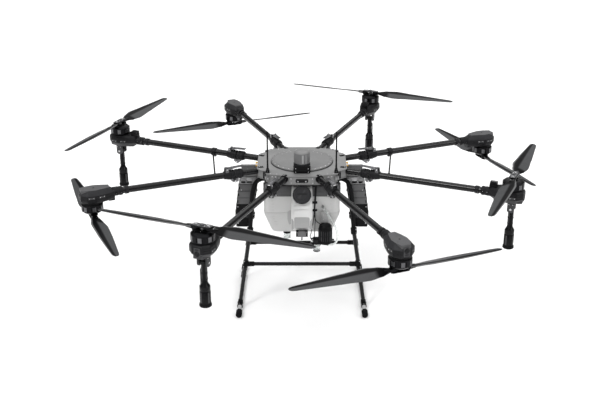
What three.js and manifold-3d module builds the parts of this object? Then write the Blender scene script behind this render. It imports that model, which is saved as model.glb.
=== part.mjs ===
// Agricultural spray drone: an octocopter with arms that fold down like an umbrella, folding blades,
// hanging spray nozzles, a liquid tank, two side batteries and a skid landing gear.
// Millimetres, +Z up, the front of the drone looks along -Y. The origin is on the ground, under the hub.
// Arms are numbered 1 to 8 counter-clockwise seen from above, starting right of the front.
// Even arms carry their propeller on top and a nozzle below; odd arms carry it underneath.
import * as THREE from 'three';
import { mergeVertices } from 'three/addons/utils/BufferGeometryUtils.js';
import Module from 'manifold-3d';

// ---- driving dimensions -------------------------------------------------------------------------
const ARM_COUNT = 8;
const FIRST_ARM_ANGLE = 22.5; // degrees from the front
const MOTOR_RADIUS = 1300; // hub axis to motor axis
const ARM_HEIGHT = 885; // arm tube axis above the ground
const TUBE_R = 20;
const GAP = 0.3; // left between pieces that touch
const HINGE_RADIUS = 440; // hub axis to fold hinge
const HINGE_DROP = 40; // fold hinge pin below the tube axis
const COLLAR_R = 30;
const LATCH_PIVOT = { x: 489, z: 39 }; // toggle lever pin, along the arm and above the tube axis
const LATCH_REACH = 106; // lever tip to its pin
const BLADE_R = 610;
const BLADE_PIVOT = 34; // rotor axis to blade pin
const BLADE_PIN_R = 5;
const ROOT_BOTTOM = 100;
const ROOT_TOP = 117;
const LOW_ROTOR_DROP = 10; // an underslung rotor hangs this much further out
const NOZZLE_PIVOT_Z = -82;
const BRACE = { clampX: 605, endX: 410, endY: 372, r: 5.5 }; // strut between two side arms
const BRACED = { 3: -1, 6: 1 }; // arm number: the side its strut is on
const HUB_BOTTOM = 850;
const HUB_TOP = 905;
const LID_R = 190;
const TANK = { halfX: 231, halfY: 195, footX: 185, footY: 165, bottom: 500, shoulder: 625, top: 820 };
const TANK_WALL = 5;
const NECK_TILT = 40; // degrees, filler neck axis above horizontal
const NECK_CENTRE = [0, -253.5, 776.9];
const LEG_TUBE_R = 13.5;
const CAP_SIDES = 12;
const CAP_R = 20;
const SKID = { x: 390, half: 350, z: CAP_R * Math.cos(Math.PI / CAP_SIDES), r: 12.5, capLength: 55 };
const CROSSBAR = { y: 159, z: 280, r: 12, half: 327 };

// ---- solids -------------------------------------------------------------------------------------
const wasm = await Module();
wasm.setup();

// Position-only copy with shared vertices merged and zero-area corners dropped, faces outward.
function closed(geometry) {
  const bare = geometry.clone();
  bare.deleteAttribute('normal');
  bare.deleteAttribute('uv');
  const merged = mergeVertices(bare, 1e-3);
  const position = merged.getAttribute('position');
  const kept = [];
  let volume = 0;
  const [a, b, c] = [new THREE.Vector3(), new THREE.Vector3(), new THREE.Vector3()];
  for (let i = 0; i < merged.index.count; i += 3) {
    const [p, q, r] = [0, 1, 2].map((k) => merged.index.getX(i + k));
    if (p === q || q === r || r === p) continue;
    kept.push(p, q, r);
    a.fromBufferAttribute(position, p);
    b.fromBufferAttribute(position, q);
    c.fromBufferAttribute(position, r);
    volume += a.dot(b.cross(c));
  }
  if (volume < 0) kept.reverse();
  merged.setIndex(kept);
  return merged;
}

function toManifold(geometry) {
  const clean = closed(geometry);
  const mesh = new wasm.Mesh({
    numProp: 3,
    vertProperties: Float32Array.from(clean.getAttribute('position').array),
    triVerts: Uint32Array.from(clean.index.array),
  });
  return new wasm.Manifold(mesh);
}

function toGeometry(manifold) {
  const mesh = manifold.getMesh();
  const geometry = new THREE.BufferGeometry();
  geometry.setAttribute('position', new THREE.BufferAttribute(Float32Array.from(mesh.vertProperties), 3));
  geometry.setIndex(Array.from(mesh.triVerts));
  return geometry;
}

const join = (...pieces) => toGeometry(pieces.map(toManifold).reduce((sum, piece) => sum.add(piece)));
const cut = (base, ...tools) =>
  toGeometry(tools.map(toManifold).reduce((rest, tool) => rest.subtract(tool), toManifold(base)));

// ---- simple forms -------------------------------------------------------------------------------
function box([x0, x1], [y0, y1], [z0, z1]) {
  const geometry = new THREE.BoxGeometry(x1 - x0, y1 - y0, z1 - z0);
  return geometry.translate((x0 + x1) / 2, (y0 + y1) / 2, (z0 + z1) / 2);
}

// Round bar between two points; turn rolls its facets.
function rod(from, to, radius, sides = 10, turn = 0) {
  const start = new THREE.Vector3(...from);
  const along = new THREE.Vector3(...to).sub(start);
  const geometry = new THREE.CylinderGeometry(radius, radius, along.length(), sides);
  geometry.rotateY(turn).translate(0, along.length() / 2, 0);
  const roll = new THREE.Quaternion().setFromUnitVectors(new THREE.Vector3(0, 1, 0), along.normalize());
  return geometry.applyQuaternion(roll).translate(...from);
}

// Body of revolution about Z from [radius, height] points.
function turned(profile, sides = 12) {
  const points = profile.map(([radius, height]) => new THREE.Vector2(radius, height));
  return new THREE.LatheGeometry(points, sides).rotateX(Math.PI / 2);
}

const flat = (outline) => new THREE.Shape(outline.map(([x, y]) => new THREE.Vector2(x, y)));

const extruded = (outline, depth) => new THREE.ExtrudeGeometry(flat(outline), { depth, bevelEnabled: false });

const prism = (outline, z0, z1) => extruded(outline, z1 - z0).translate(0, 0, z0);

// Side profile in X and Z, given width along Y.
const slabY = (outline, y0, y1) => extruded(outline, y1 - y0).rotateX(Math.PI / 2).translate(0, y1, 0);

// Side profile in Y and Z, given width along X.
function slabX(outline, x0, x1) {
  const [alongX, alongY, alongZ] = [0, 1, 2].map((axis) => new THREE.Vector3().setComponent(axis, 1));
  const turn = new THREE.Matrix4().makeBasis(alongY, alongZ, alongX);
  return extruded(outline, x1 - x0).applyMatrix4(turn).translate(x0, 0, 0);
}

function tube(points, radius, steps, sides = 8) {
  const path = new THREE.CatmullRomCurve3(points.map((point) => new THREE.Vector3(...point)));
  const ring = Array.from({ length: sides }, (_, i) => {
    const angle = (2 * Math.PI * i) / sides;
    return [radius * Math.cos(angle), radius * Math.sin(angle)];
  });
  return new THREE.ExtrudeGeometry(flat(ring), { steps, extrudePath: path, bevelEnabled: false });
}

// Skin over convex sections that all have the same number of points.
function loft(sections) {
  const count = sections[0].length;
  const index = [];
  for (let s = 0; s + 1 < sections.length; s += 1) {
    for (let i = 0; i < count; i += 1) {
      const [a, b] = [s * count + i, s * count + ((i + 1) % count)];
      index.push(a, b, b + count, a, b + count, a + count);
    }
  }
  const last = (sections.length - 1) * count;
  for (let i = 1; i + 1 < count; i += 1) {
    index.push(0, i + 1, i, last, last + i, last + i + 1);
  }
  const geometry = new THREE.BufferGeometry();
  geometry.setAttribute('position', new THREE.Float32BufferAttribute(sections.flat(2), 3));
  geometry.setIndex(index);
  return geometry;
}

// Rectangle with cut corners, counter-clockwise, at height z.
function chamferedRing(halfX, halfY, corner, z) {
  const [x, y] = [halfX - corner, halfY - corner];
  const right = [[x, -halfY], [halfX, -y], [halfX, y], [x, halfY]];
  const left = right.map(([px, py]) => [-px, -py]);
  return [...right, ...left].map(([px, py]) => [px, py, z]);
}

// ---- materials and scene graph ------------------------------------------------------------------
const FINISH = {
  hub: { color: 0x9a9a9a, roughness: 0.45, metalness: 0.3 },
  carbon: { color: 0x26272a, roughness: 0.35, metalness: 0.1 },
  casing: { color: 0x3a3b3e, roughness: 0.5, metalness: 0.1 },
  metal: { color: 0x55585c, roughness: 0.35, metalness: 0.8 },
  blade: { color: 0x2b2c2e, roughness: 0.3, metalness: 0.05 },
  tank: { color: 0xe6e6e4, roughness: 0.4, metalness: 0 },
  rubber: { color: 0x1c1c1d, roughness: 0.8, metalness: 0 },
  battery: { color: 0x55565a, roughness: 0.5, metalness: 0.1 },
  hose: { color: 0xdfe6e6, roughness: 0.2, metalness: 0 },
};

const drone = new THREE.Group();

function place(parent, name, geometry, finish) {
  const mesh = new THREE.Mesh(closed(geometry), new THREE.MeshStandardMaterial(FINISH[finish]));
  mesh.name = name;
  parent.add(mesh);
}

// ---- arm: tube, fold knuckle, latch ears, motor mount -------------------------------------------
// Arm frame: X outward from the hub axis, Z up from the tube axis.

// Hinge leaf whose eye is on the fold pin; side is +1 for the arm's leaf and -1 for the hub's.
function hingeLeaf(side, y0, y1) {
  const eyeR = 9;
  const at = (x, z) => [HINGE_RADIUS + side * x, z];
  const eye = Array.from({ length: 4 }, (_, i) => {
    const angle = Math.PI * (0.5 + i / 3);
    return at(eyeR * Math.cos(angle), -HINGE_DROP + eyeR * Math.sin(angle));
  });
  const leaf = [at(7, -22), ...eye, at(22, -HINGE_DROP + 2), at(22, -22)];
  return slabY(side > 0 ? leaf : leaf.reverse(), y0, y1);
}

function mountHousing(baseHeight) {
  const half = [[-130, 31], [-85, 50], [-20, 66], [35, 62], [68, 30]];
  const plan = [...half.map(([x, y]) => [x, -y]), ...half.reverse()];
  const level = (scale, z) => plan.map(([x, y]) => [-20 + (x + 20) * scale, y * scale, z]);
  const shell = loft([level(0.68, -39), level(1, -12), level(1, 24), level(0.88, 36)]);
  const base = rod([0, 0, 30], [0, 0, baseHeight], 56, 12);
  const clamp = rod([-178, 0, 0], [-120, 0, 0], 27);
  return [shell, base, clamp];
}

function nozzleClevis() {
  const cheek = [[-20, -30], [-20, -92], [-10, -102], [10, -102], [20, -92], [20, -30]];
  const cheeks = [[-30.5, -20], [20, 30.5]].map(([y0, y1]) => slabY(cheek, y0, y1));
  return [...cheeks, rod([0, -25, NOZZLE_PIVOT_Z], [0, 25, NOZZLE_PIVOT_Z], 5, 8)];
}

// Strut towards the side arm in front, ending just clear of its tube, with its clamp.
function braceGeometry(side) {
  const { clampX, endX, endY, r } = BRACE;
  const band = rod([clampX - 14, 0, 0], [clampX + 14, 0, 0], 26);
  const tip = rod([endX + 5, (endY - 10) * side, 0], [endX, endY * side, 0], 8, 8);
  return [band, tip, rod([clampX, 0, 0], [endX, endY * side, 0], r, 8)];
}

function armGeometry(inverted, braceSide) {
  const collar = rod([HINGE_RADIUS + 3, 0, 0], [507, 0, 0], COLLAR_R);
  const tubeBody = rod([HINGE_RADIUS + 10, 0, 0], [MOTOR_RADIUS - 60, 0, 0], TUBE_R);
  const pinBore = rod([HINGE_RADIUS, -12, -HINGE_DROP], [HINGE_RADIUS, 12, -HINGE_DROP], 4.7, 8);
  const knuckle = cut(hingeLeaf(1, -10.5, 10.5), pinBore);
  const { x, z } = LATCH_PIVOT;
  const ear = [[x - 11, 20], [x + 11, 20], [x + 8, z + 6], [x - 8, z + 6]];
  const ears = [[-19, -13], [13, 19]].map(([y0, y1]) => slabY(ear, y0, y1));
  const pin = rod([x, -15, z], [x, 15, z], 3, 6);
  const coolingFins = box([-134, -90], [-22, 22], [15, 64]);
  const mount = inverted
    ? mountHousing(38 + LOW_ROTOR_DROP)
    : [...mountHousing(38), coolingFins, ...nozzleClevis()];
  if (inverted) mount.forEach((piece) => piece.rotateX(Math.PI));
  mount.forEach((piece) => piece.translate(MOTOR_RADIUS, 0, 0));
  const brace = braceSide ? braceGeometry(braceSide) : [];
  return join(collar, tubeBody, knuckle, ...ears, pin, ...mount, ...brace);
}

function latchGeometry() {
  const { x, z } = LATCH_PIVOT;
  const round = Array.from({ length: 4 }, (_, i) => {
    const angle = Math.PI * (-0.5 + i / 3);
    return [x + 6 * Math.cos(angle), z + 6 * Math.sin(angle)];
  });
  const tip = x - LATCH_REACH;
  const profile = [...round, [x - 60, z + 9], [tip, z + 10], [tip, z + 3], [x - 60, z - 4]];
  return cut(slabY(profile, -12, 12), rod([x, -14, z], [x, 14, z], 3.6, 6));
}

// ---- rotor: motor bell with the clamp plates that hold the blade roots --------------------------
function rotorGeometry() {
  const bell = turned([[0, 39], [57, 39], [62.5, 45], [62.5, 80], [52, 90], [22, 95], [0, 95]], 14);
  const side = [[-54, -14], [-44, -22], [44, -22], [54, -14]];
  const outline = [...side, ...side.map(([x, y]) => [-x, -y])];
  const plateLow = prism(outline, ROOT_BOTTOM - 6, ROOT_BOTTOM);
  const plateHigh = prism(outline, ROOT_TOP, ROOT_TOP + 6);
  const pins = [-BLADE_PIVOT, BLADE_PIVOT].map((x) =>
    rod([x, 0, ROOT_BOTTOM - 3], [x, 0, ROOT_TOP + 10], BLADE_PIN_R, 8));
  const column = rod([0, 0, 92], [0, 0, ROOT_TOP + 12], 11, 8);
  return join(bell, plateLow, plateHigh, column, ...pins);
}

// Blade along +X of the rotor. pitch is +1 on a top rotor and -1 on an underslung one.
function bladeGeometry(pitch) {
  const middle = (ROOT_BOTTOM + ROOT_TOP) / 2;
  const stations = [ // distance, chord, twist in degrees, thickness
    [56, 36, 10, 12], [110, 72, 17, 13], [185, 98, 16, 11],
    [340, 80, 11, 8], [585, 42, 6, 4.5], [BLADE_R, 24, 6, 3],
  ];
  const aerofoil = [[0.5, 0], [0.22, 0.5], [-0.5, 0.08], [0.22, -0.36]];
  const sections = stations.map(([distance, chord, twist, thickness]) => {
    const [cos, sin] = [Math.cos, Math.sin].map((f) => f(THREE.MathUtils.degToRad(twist) * pitch));
    return aerofoil.map(([u, v]) => {
      const [across, up] = [u * chord, v * thickness * pitch];
      return [distance, across * cos - up * sin, middle + across * sin + up * cos];
    });
  });
  const [low, high] = [ROOT_BOTTOM + GAP, ROOT_TOP - GAP];
  const eye = rod([BLADE_PIVOT, 0, low], [BLADE_PIVOT, 0, high], 19, 10);
  const shank = prism([[BLADE_PIVOT, -17], [78, -14], [78, 14], [BLADE_PIVOT, 17]], low + 1, high - 1);
  const bore = rod([BLADE_PIVOT, 0, low - 5], [BLADE_PIVOT, 0, high + 5], BLADE_PIN_R + 0.8, 8);
  return cut(join(eye, shank, loft(sections)), bore);
}

function nozzleGeometry() {
  const body = turned([
    [0, -70], [17, -70], [17, -195], [28.5, -218], [28.5, -316],
    [33, -321], [33, -331], [20, -338], [0, -338],
  ]);
  return cut(body, rod([0, -30, NOZZLE_PIVOT_Z], [0, 30, NOZZLE_PIVOT_Z], 5.8, 8));
}

function addArm(number) {
  const inverted = number % 2 === 1;
  const fromFront = FIRST_ARM_ANGLE + ((number - 1) * 360) / ARM_COUNT;
  const arm = new THREE.Group();
  arm.rotation.z = THREE.MathUtils.degToRad(fromFront - 90);
  arm.position.z = ARM_HEIGHT;
  drone.add(arm);
  place(arm, `arm_${number}`, armGeometry(inverted, BRACED[number]), 'carbon');
  place(arm, `latch_${number}`, latchGeometry(), 'metal');

  const motor = new THREE.Group();
  motor.position.x = MOTOR_RADIUS;
  arm.add(motor);
  const rotor = new THREE.Group();
  rotor.rotation.x = inverted ? Math.PI : 0;
  rotor.position.z = inverted ? -LOW_ROTOR_DROP : 0;
  motor.add(rotor);
  place(rotor, `rotor_${number}`, rotorGeometry().rotateZ(Math.PI / 2), 'metal');
  for (const side of [1, -1]) { // blade a is on the counter-clockwise side of the arm
    const letter = side * (inverted ? -1 : 1) > 0 ? 'a' : 'b';
    const blade = bladeGeometry(inverted ? -1 : 1).rotateZ((side * Math.PI) / 2);
    place(rotor, `blade_${number}${letter}`, blade, 'blade');
  }
  if (!inverted) place(motor, `nozzle_${number}`, nozzleGeometry(), 'casing');
}

for (let number = 1; number <= ARM_COUNT; number += 1) addArm(number);

// ---- hub: frame with arm stubs, lid, forward radar, antennas ------------------------------------
function hubFrameGeometry() {
  const corner = [
    [272, 60], [272, 128], [254, 152], [218, 176], [218, 208], [200, 226], [132, 240], [96, 262],
  ];
  const half = [...corner, ...[...corner].reverse().map(([x, y]) => [-x, y])];
  let frame = prism([...half, ...half.map(([x, y]) => [-x, -y])], HUB_BOTTOM, HUB_TOP);
  for (let i = 0; i < ARM_COUNT; i += 1) {
    const stub = join(
      rod([200, 0, 0], [HINGE_RADIUS - 10, 0, 0], TUBE_R),
      rod([388, 0, 0], [HINGE_RADIUS - 3, 0, 0], COLLAR_R),
      hingeLeaf(-1, -19, -11),
      hingeLeaf(-1, 11, 19),
      rod([HINGE_RADIUS, -15, -HINGE_DROP], [HINGE_RADIUS, 15, -HINGE_DROP], 4, 8),
    );
    const angle = THREE.MathUtils.degToRad(FIRST_ARM_ANGLE + (i * 360) / ARM_COUNT);
    frame = join(frame, stub.rotateZ(angle).translate(0, 0, ARM_HEIGHT));
  }
  const rails = [[-380, -150], [150, 380]].map((x) => box(x, [-88, 88], [839.5, HUB_BOTTOM + 2]));
  const hangers = [-165, 165].flatMap((x) => [-165, 165].map((y) =>
    box([x - 14, x + 14], [y - 14, y + 14], [TANK.top + GAP, HUB_BOTTOM + 2])));
  return join(frame, ...rails, ...hangers);
}

function hubLidGeometry() {
  const low = HUB_TOP + GAP;
  const profile = [
    [0, low], [LID_R, low], [LID_R, low + 8], [LID_R - 14, low + 14], [120, low + 16], [0, low + 16],
  ];
  const lid = turned(profile, 28);
  return cut(lid, box([-52, 52], [-LID_R - 10, -119], [low - 5, low + 30]));
}

function radarGeometry() {
  const outline = [
    [-46, -44], [46, -44], [50, -30], [50, 36], [34, 50], [-34, 50], [-50, 36], [-50, -30],
  ];
  const base = prism(outline, HUB_TOP + GAP, 954);
  const drum = turned([[0, 950], [44, 950], [49, 958], [49, 1020], [42, 1032], [0, 1036]], 16);
  return join(base, drum).translate(0, -171, 0);
}

function antennaGeometry(side) {
  const bottom = HUB_TOP + GAP;
  const foot = box([194, 218], [-206, -176], [bottom, bottom + 20]);
  const whip = rod([205, -190, bottom + 15], [205, -190, 1150], 4, 8);
  const antenna = join(foot, whip, rod([205, -190, 1140], [205, -190, 1160], 5, 8));
  return side < 0 ? antenna.scale(-1, 1, 1) : antenna;
}

place(drone, 'hub_frame', hubFrameGeometry(), 'hub');
place(drone, 'hub_lid', hubLidGeometry(), 'hub');
place(drone, 'radar_unit', radarGeometry(), 'casing');
place(drone, 'antenna_left', antennaGeometry(-1), 'rubber');
place(drone, 'antenna_right', antennaGeometry(1), 'rubber');

// ---- spray tank with its tilted filler neck, cap, sensor, pump and hose ------------------------
const tilt = THREE.MathUtils.degToRad(NECK_TILT);

const alongNeck = (distance) =>
  [0, NECK_CENTRE[1] - distance * Math.cos(tilt), NECK_CENTRE[2] + distance * Math.sin(tilt)];

// Outer or inner skin of the vessel: wall is how far the surface is drawn in.
function tankSkin(wall) {
  const { halfX, halfY, footX, footY, bottom, shoulder, top } = TANK;
  const body = loft([
    chamferedRing(footX - wall, footY - wall, 30, bottom + wall),
    chamferedRing(halfX - wall, halfY - wall, 30, shoulder),
    chamferedRing(halfX - wall, halfY - wall, 30, top - wall),
  ]);
  const nose = [
    [-140, 545 + wall], [-255 + wall, 562 + wall], [-290 + wall, 600 + wall], [-290 + wall, 733 - wall / 2],
    [-217 + wall / 2, top - wall], [-140, top - wall],
  ];
  return join(body, slabX(nose, -65 + wall, 65 - wall));
}

function tankGeometry() {
  const neck = rod(alongNeck(-3), alongNeck(13), 48, 14);
  const mouth = rod(alongNeck(-40), alongNeck(14), 41, 14);
  const drain = rod([-92, -140, 452], [-92, -140, 515], 23);
  return cut(join(tankSkin(0), neck, drain), tankSkin(TANK_WALL), mouth);
}

const capGeometry = () =>
  join(rod(alongNeck(13.3), alongNeck(36), 56, 16), rod(alongNeck(3), alongNeck(16), 38.5, 14));

function sensorGeometry() {
  const frame = box([-36, 36], [-286, -262], [522, 560]);
  const outline = [[-24, 526], [24, 526], [28, 552], [16, 566], [-16, 566], [-28, 552]];
  const centre = 546;
  const face = loft([[0.92, -300], [1, -294], [1, -284]].map(([scale, y]) =>
    outline.map(([x, z]) => [x * scale, y, centre + (z - centre) * scale])));
  return join(frame, face, rod([0, -280, 500], [0, -280, 525], 5, 8));
}

const PUMP = { x: 142, y: -243, r: 43, bottom: 467, top: 587 };

function pumpGeometry() {
  const { x, y, r, bottom, top } = PUMP;
  const profile = [
    [0, bottom], [r - 4, bottom], [r, bottom + 6], [r, top - 22], [r - 9, top - 4], [r - 16, top], [0, top],
  ];
  const can = turned(profile, 16).translate(x, y, 0);
  const bracket = box([x - 24, x + 24], [-212, -TANK.halfY - GAP], [560, 652]);
  const manifold = box([66, 121], [y - 16, y + 16], [455, 500]);
  const bowl = [[0, 408], [20, 408], [22, 413], [22, 448], [24, 450], [24, 462], [0, 462]];
  const strainer = turned(bowl).translate(90, y, 0);
  return join(can, bracket, manifold, strainer);
}

function hoseGeometry() {
  const route = [
    [127, -TANK.halfY - 1, 684], [128, -206, 683], [140, -216, 668], [172, -226, 618], [202, -232, 566],
    [216, -238, 520], [214, -243, 482], [198, -244, 459], [170, -244, 453], [122, -243, 456],
  ];
  return tube(route, 6.5, 26);
}

place(drone, 'tank', tankGeometry(), 'tank');
place(drone, 'filler_cap', capGeometry(), 'casing');
place(drone, 'terrain_sensor', sensorGeometry(), 'casing');
place(drone, 'pump', pumpGeometry(), 'rubber');
place(drone, 'hose', hoseGeometry(), 'hose');

// ---- batteries ----------------------------------------------------------------------------------
function batteryGeometry(side) {
  const profile = [[262, 838], [376, 838], [384, 826], [415, 585], [412, 500], [332, 500], [300, 585]];
  const pack = slabY(profile, -96, 96);
  return side < 0 ? pack.scale(-1, 1, 1) : pack;
}

place(drone, 'battery_left', batteryGeometry(-1), 'battery');
place(drone, 'battery_right', batteryGeometry(1), 'battery');

// ---- landing gear: two bent legs and a skid on each side, two crossbars -------------------------
function legGeometry(end) { // end is -1 at the front, +1 at the back
  const bend = [
    [152, 835], [205, 835], [248, 833], [279, 812], [298, 762], [308, 692], [315, 590], [321, 494],
  ].map(([x, z]) => [x, 120 * end, z]);
  const knee = bend[bend.length - 1];
  const foot = [SKID.x, 208 * end, SKID.z];
  const share = (knee[2] - CROSSBAR.z) / (knee[2] - foot[2]);
  const socketX = knee[0] + (foot[0] - knee[0]) * share;
  const socketAt = (x) => [x, CROSSBAR.y * end, CROSSBAR.z];
  return join(
    tube(bend, LEG_TUBE_R, 12),
    rod([knee[0] - 1, knee[1], knee[2] + 18], [knee[0] + 3, knee[1] + 4 * end, knee[2] - 24], 20),
    rod(knee, foot, LEG_TUBE_R - 1, 8),
    rod(socketAt(CROSSBAR.half + GAP), socketAt(socketX + 12), 17),
    rod([SKID.x, (208 - 28) * end, SKID.z], [SKID.x, (208 + 28) * end, SKID.z], 18),
  );
}

function landingGearGeometry(side) {
  const flatDown = Math.PI / CAP_SIDES; // a flat facet rests on the ground
  const cap = (end) => {
    const [inner, outer] = [SKID.half - SKID.capLength, SKID.half].map((y) => [SKID.x, y * end, SKID.z]);
    return rod(inner, outer, CAP_R, CAP_SIDES, flatDown);
  };
  const skid = rod([SKID.x, 10 - SKID.half, SKID.z], [SKID.x, SKID.half - 10, SKID.z], SKID.r);
  const gear = join(legGeometry(-1), legGeometry(1), skid, cap(-1), cap(1));
  return side < 0 ? gear.scale(-1, 1, 1) : gear;
}

function crossbarGeometry(end) {
  const { y, z, r, half } = CROSSBAR;
  const ends = [-1, 1].map((side) => rod([side * half, y * end, z], [side * (half - 30), y * end, z], r + 4));
  return join(rod([-half + 5, y * end, z], [half - 5, y * end, z], r), ...ends);
}

place(drone, 'landing_gear_left', landingGearGeometry(-1), 'carbon');
place(drone, 'landing_gear_right', landingGearGeometry(1), 'carbon');
place(drone, 'crossbar_front', crossbarGeometry(-1), 'carbon');
place(drone, 'crossbar_rear', crossbarGeometry(1), 'carbon');

export default drone;
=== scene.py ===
import math

import bmesh
import bpy
from mathutils import Matrix, Vector


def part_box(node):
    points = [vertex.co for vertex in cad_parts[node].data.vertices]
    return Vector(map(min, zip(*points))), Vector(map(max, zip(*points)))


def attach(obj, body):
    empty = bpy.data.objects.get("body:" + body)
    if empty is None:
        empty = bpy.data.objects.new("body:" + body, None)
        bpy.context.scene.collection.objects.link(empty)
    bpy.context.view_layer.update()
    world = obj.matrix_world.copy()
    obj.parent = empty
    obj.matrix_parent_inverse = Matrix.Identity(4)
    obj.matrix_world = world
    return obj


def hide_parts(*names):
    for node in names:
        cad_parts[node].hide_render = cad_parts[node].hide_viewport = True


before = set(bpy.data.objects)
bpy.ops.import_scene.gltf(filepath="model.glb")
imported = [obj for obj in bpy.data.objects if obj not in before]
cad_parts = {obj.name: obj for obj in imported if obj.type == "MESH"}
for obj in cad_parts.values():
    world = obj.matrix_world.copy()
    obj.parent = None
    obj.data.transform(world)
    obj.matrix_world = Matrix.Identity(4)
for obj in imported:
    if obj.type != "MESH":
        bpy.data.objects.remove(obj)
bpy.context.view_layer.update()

# Agricultural spray drone. Shapes are given in millimetres. An arm's frame has X outward from the
# hub's axis and Z up from the tube's axis, and a motor's frame has Z along its axis away from the
# mount. The radar, the cap and the crossbars are drawn about their own axis, and everything else in
# the drone's frame. The left battery and landing gear are the right ones turned half round.
MM = 0.001
TURN = 2 * math.pi

ARM_COUNT = 8
ARM_Z = 885.0
MOTOR_X = 1300.0
TUBE_R = 19.6
COLLAR_R = 29.4
HINGE_X = 440.0
HINGE_Z = -40.0
LATCH_X, LATCH_Z, LATCH_REACH = 489.0, 39.0, 105.0
LOW_ROTOR_DROP = 10.0
BLADE_PIVOT, BLADE_R = 34.0, 609.6
ROOT_LOW, ROOT_HIGH = 100.0, 117.0
NOZZLE_PIVOT_Z = -82.0
HUB_LOW, HUB_HIGH = 850.0, 905.0
LID_R = 189.5
NECK_CENTRE, NECK_TILT = Vector((0, -253.5, 776.9)), math.radians(40)
SKID_X, SKID_HALF = 390.0, 350.0
SKID_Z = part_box("landing_gear_left")[0].z / MM + 19.32
KNEE_X, KNEE_Y, KNEE_Z, FOOT_Y = 321.0, 120.0, 494.0, 208.0
CROSSBAR_Y, CROSSBAR_Z = 159.0, 280.0
RADAR_Y = -171.0
ANTENNA_X, ANTENNA_Y, ANTENNA_TOP = 205.0, -190.0, 1159.8
PANEL_Y, PANEL_Z = 261.4, 876.0
DRAIN_X, DRAIN_Y = -92.0, -140.0
SENSOR_Y, SENSOR_Z = -280.0, 541.0
PUMP_X, PUMP_Y, STRAINER_X = 142.0, -243.0, 90.0
BATTERY_HALF_Y = 95.6
SHARP_ANGLE = 38
FLOOR_HALF, FLOOR_DROP = 60, 0.0005

# Blade stations: distance from the rotor's axis, chord, twist in degrees, thickness.
STATIONS = [(56, 36, 10, 12), (110, 72, 17, 13), (185, 96, 16, 11), (340, 80, 11, 8), (470, 60, 8.5, 6),
            (585, 41.6, 6, 4.5), (600.4, 32.2, 6, 3.6), (BLADE_R - 0.4, 14, 6, 2.4)]
BLADE_RINGS = [56, 68, 82, 96, 110, 128, 146, 165, 185, 215, 250, 290, 340, 390, 440, 490, 540, 575, 590,
               598, 604, 607.5, BLADE_R - 0.4]
# Aerofoil outline in shares of the chord and of the thickness.
AEROFOIL = [(0.5, 0.02), (0.485, 0.16), (0.44, 0.31), (0.36, 0.43), (0.25, 0.49), (0.10, 0.47), (-0.08, 0.39),
            (-0.26, 0.27), (-0.42, 0.15), (-0.5, 0.09), (-0.5, 0.03), (-0.36, -0.02), (-0.16, -0.10),
            (0.06, -0.21), (0.24, -0.29), (0.38, -0.28), (0.46, -0.19), (0.49, -0.08)]


# ---- camera, light and floor ----------------------------------------------------------------------
def make_camera():
    data = bpy.data.cameras.new("camera")
    data.lens = 58.91
    data.sensor_width = 36
    data.shift_x = -0.0032
    camera = bpy.data.objects.new("camera", data)
    camera.location = (0, -5.6823, 2.9962)
    camera.rotation_euler = (math.radians(90 - 22.47), 0, 0)
    bpy.context.scene.collection.objects.link(camera)
    bpy.context.scene.camera = camera


def make_light(name, way, angle, strength):
    """Large soft light, far off, shining onto the object from a direction."""
    data = bpy.data.lights.new(name, "SUN")
    data.angle = math.radians(angle)
    data.energy = strength
    light = bpy.data.objects.new(name, data)
    light.rotation_euler = (-Vector(way)).to_track_quat("-Z", "Y").to_euler()
    bpy.context.scene.collection.objects.link(light)


def make_studio():
    """White overhead tent, dimmer towards the horizon, with three soft lights in it."""
    world = bpy.data.worlds.new("studio")
    world.use_nodes = True
    nodes, links = world.node_tree.nodes, world.node_tree.links
    way = nodes.new("ShaderNodeTexCoord")
    split = nodes.new("ShaderNodeSeparateXYZ")
    span = nodes.new("ShaderNodeMapRange")
    for label, value in (("From Min", 0.40), ("From Max", 0.85), ("To Min", 0.14), ("To Max", 1.75)):
        span.inputs[label].default_value = value
    links.new(way.outputs["Generated"], split.inputs["Vector"])
    links.new(split.outputs["Z"], span.inputs["Value"])
    links.new(span.outputs["Result"], nodes["Background"].inputs["Strength"])
    nodes["Background"].inputs["Color"].default_value = (1, 1, 1, 1)
    bpy.context.scene.world = world
    bpy.context.scene.view_settings.view_transform = "Standard"
    make_light("key", (-0.55, -0.62, 0.80), 16, 1.05)
    make_light("fill", (0.85, -0.50, 0.55), 20, 0.55)
    make_light("rim", (0.15, 1.0, 0.85), 44, 0.35)


make_camera()
make_studio()


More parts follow.
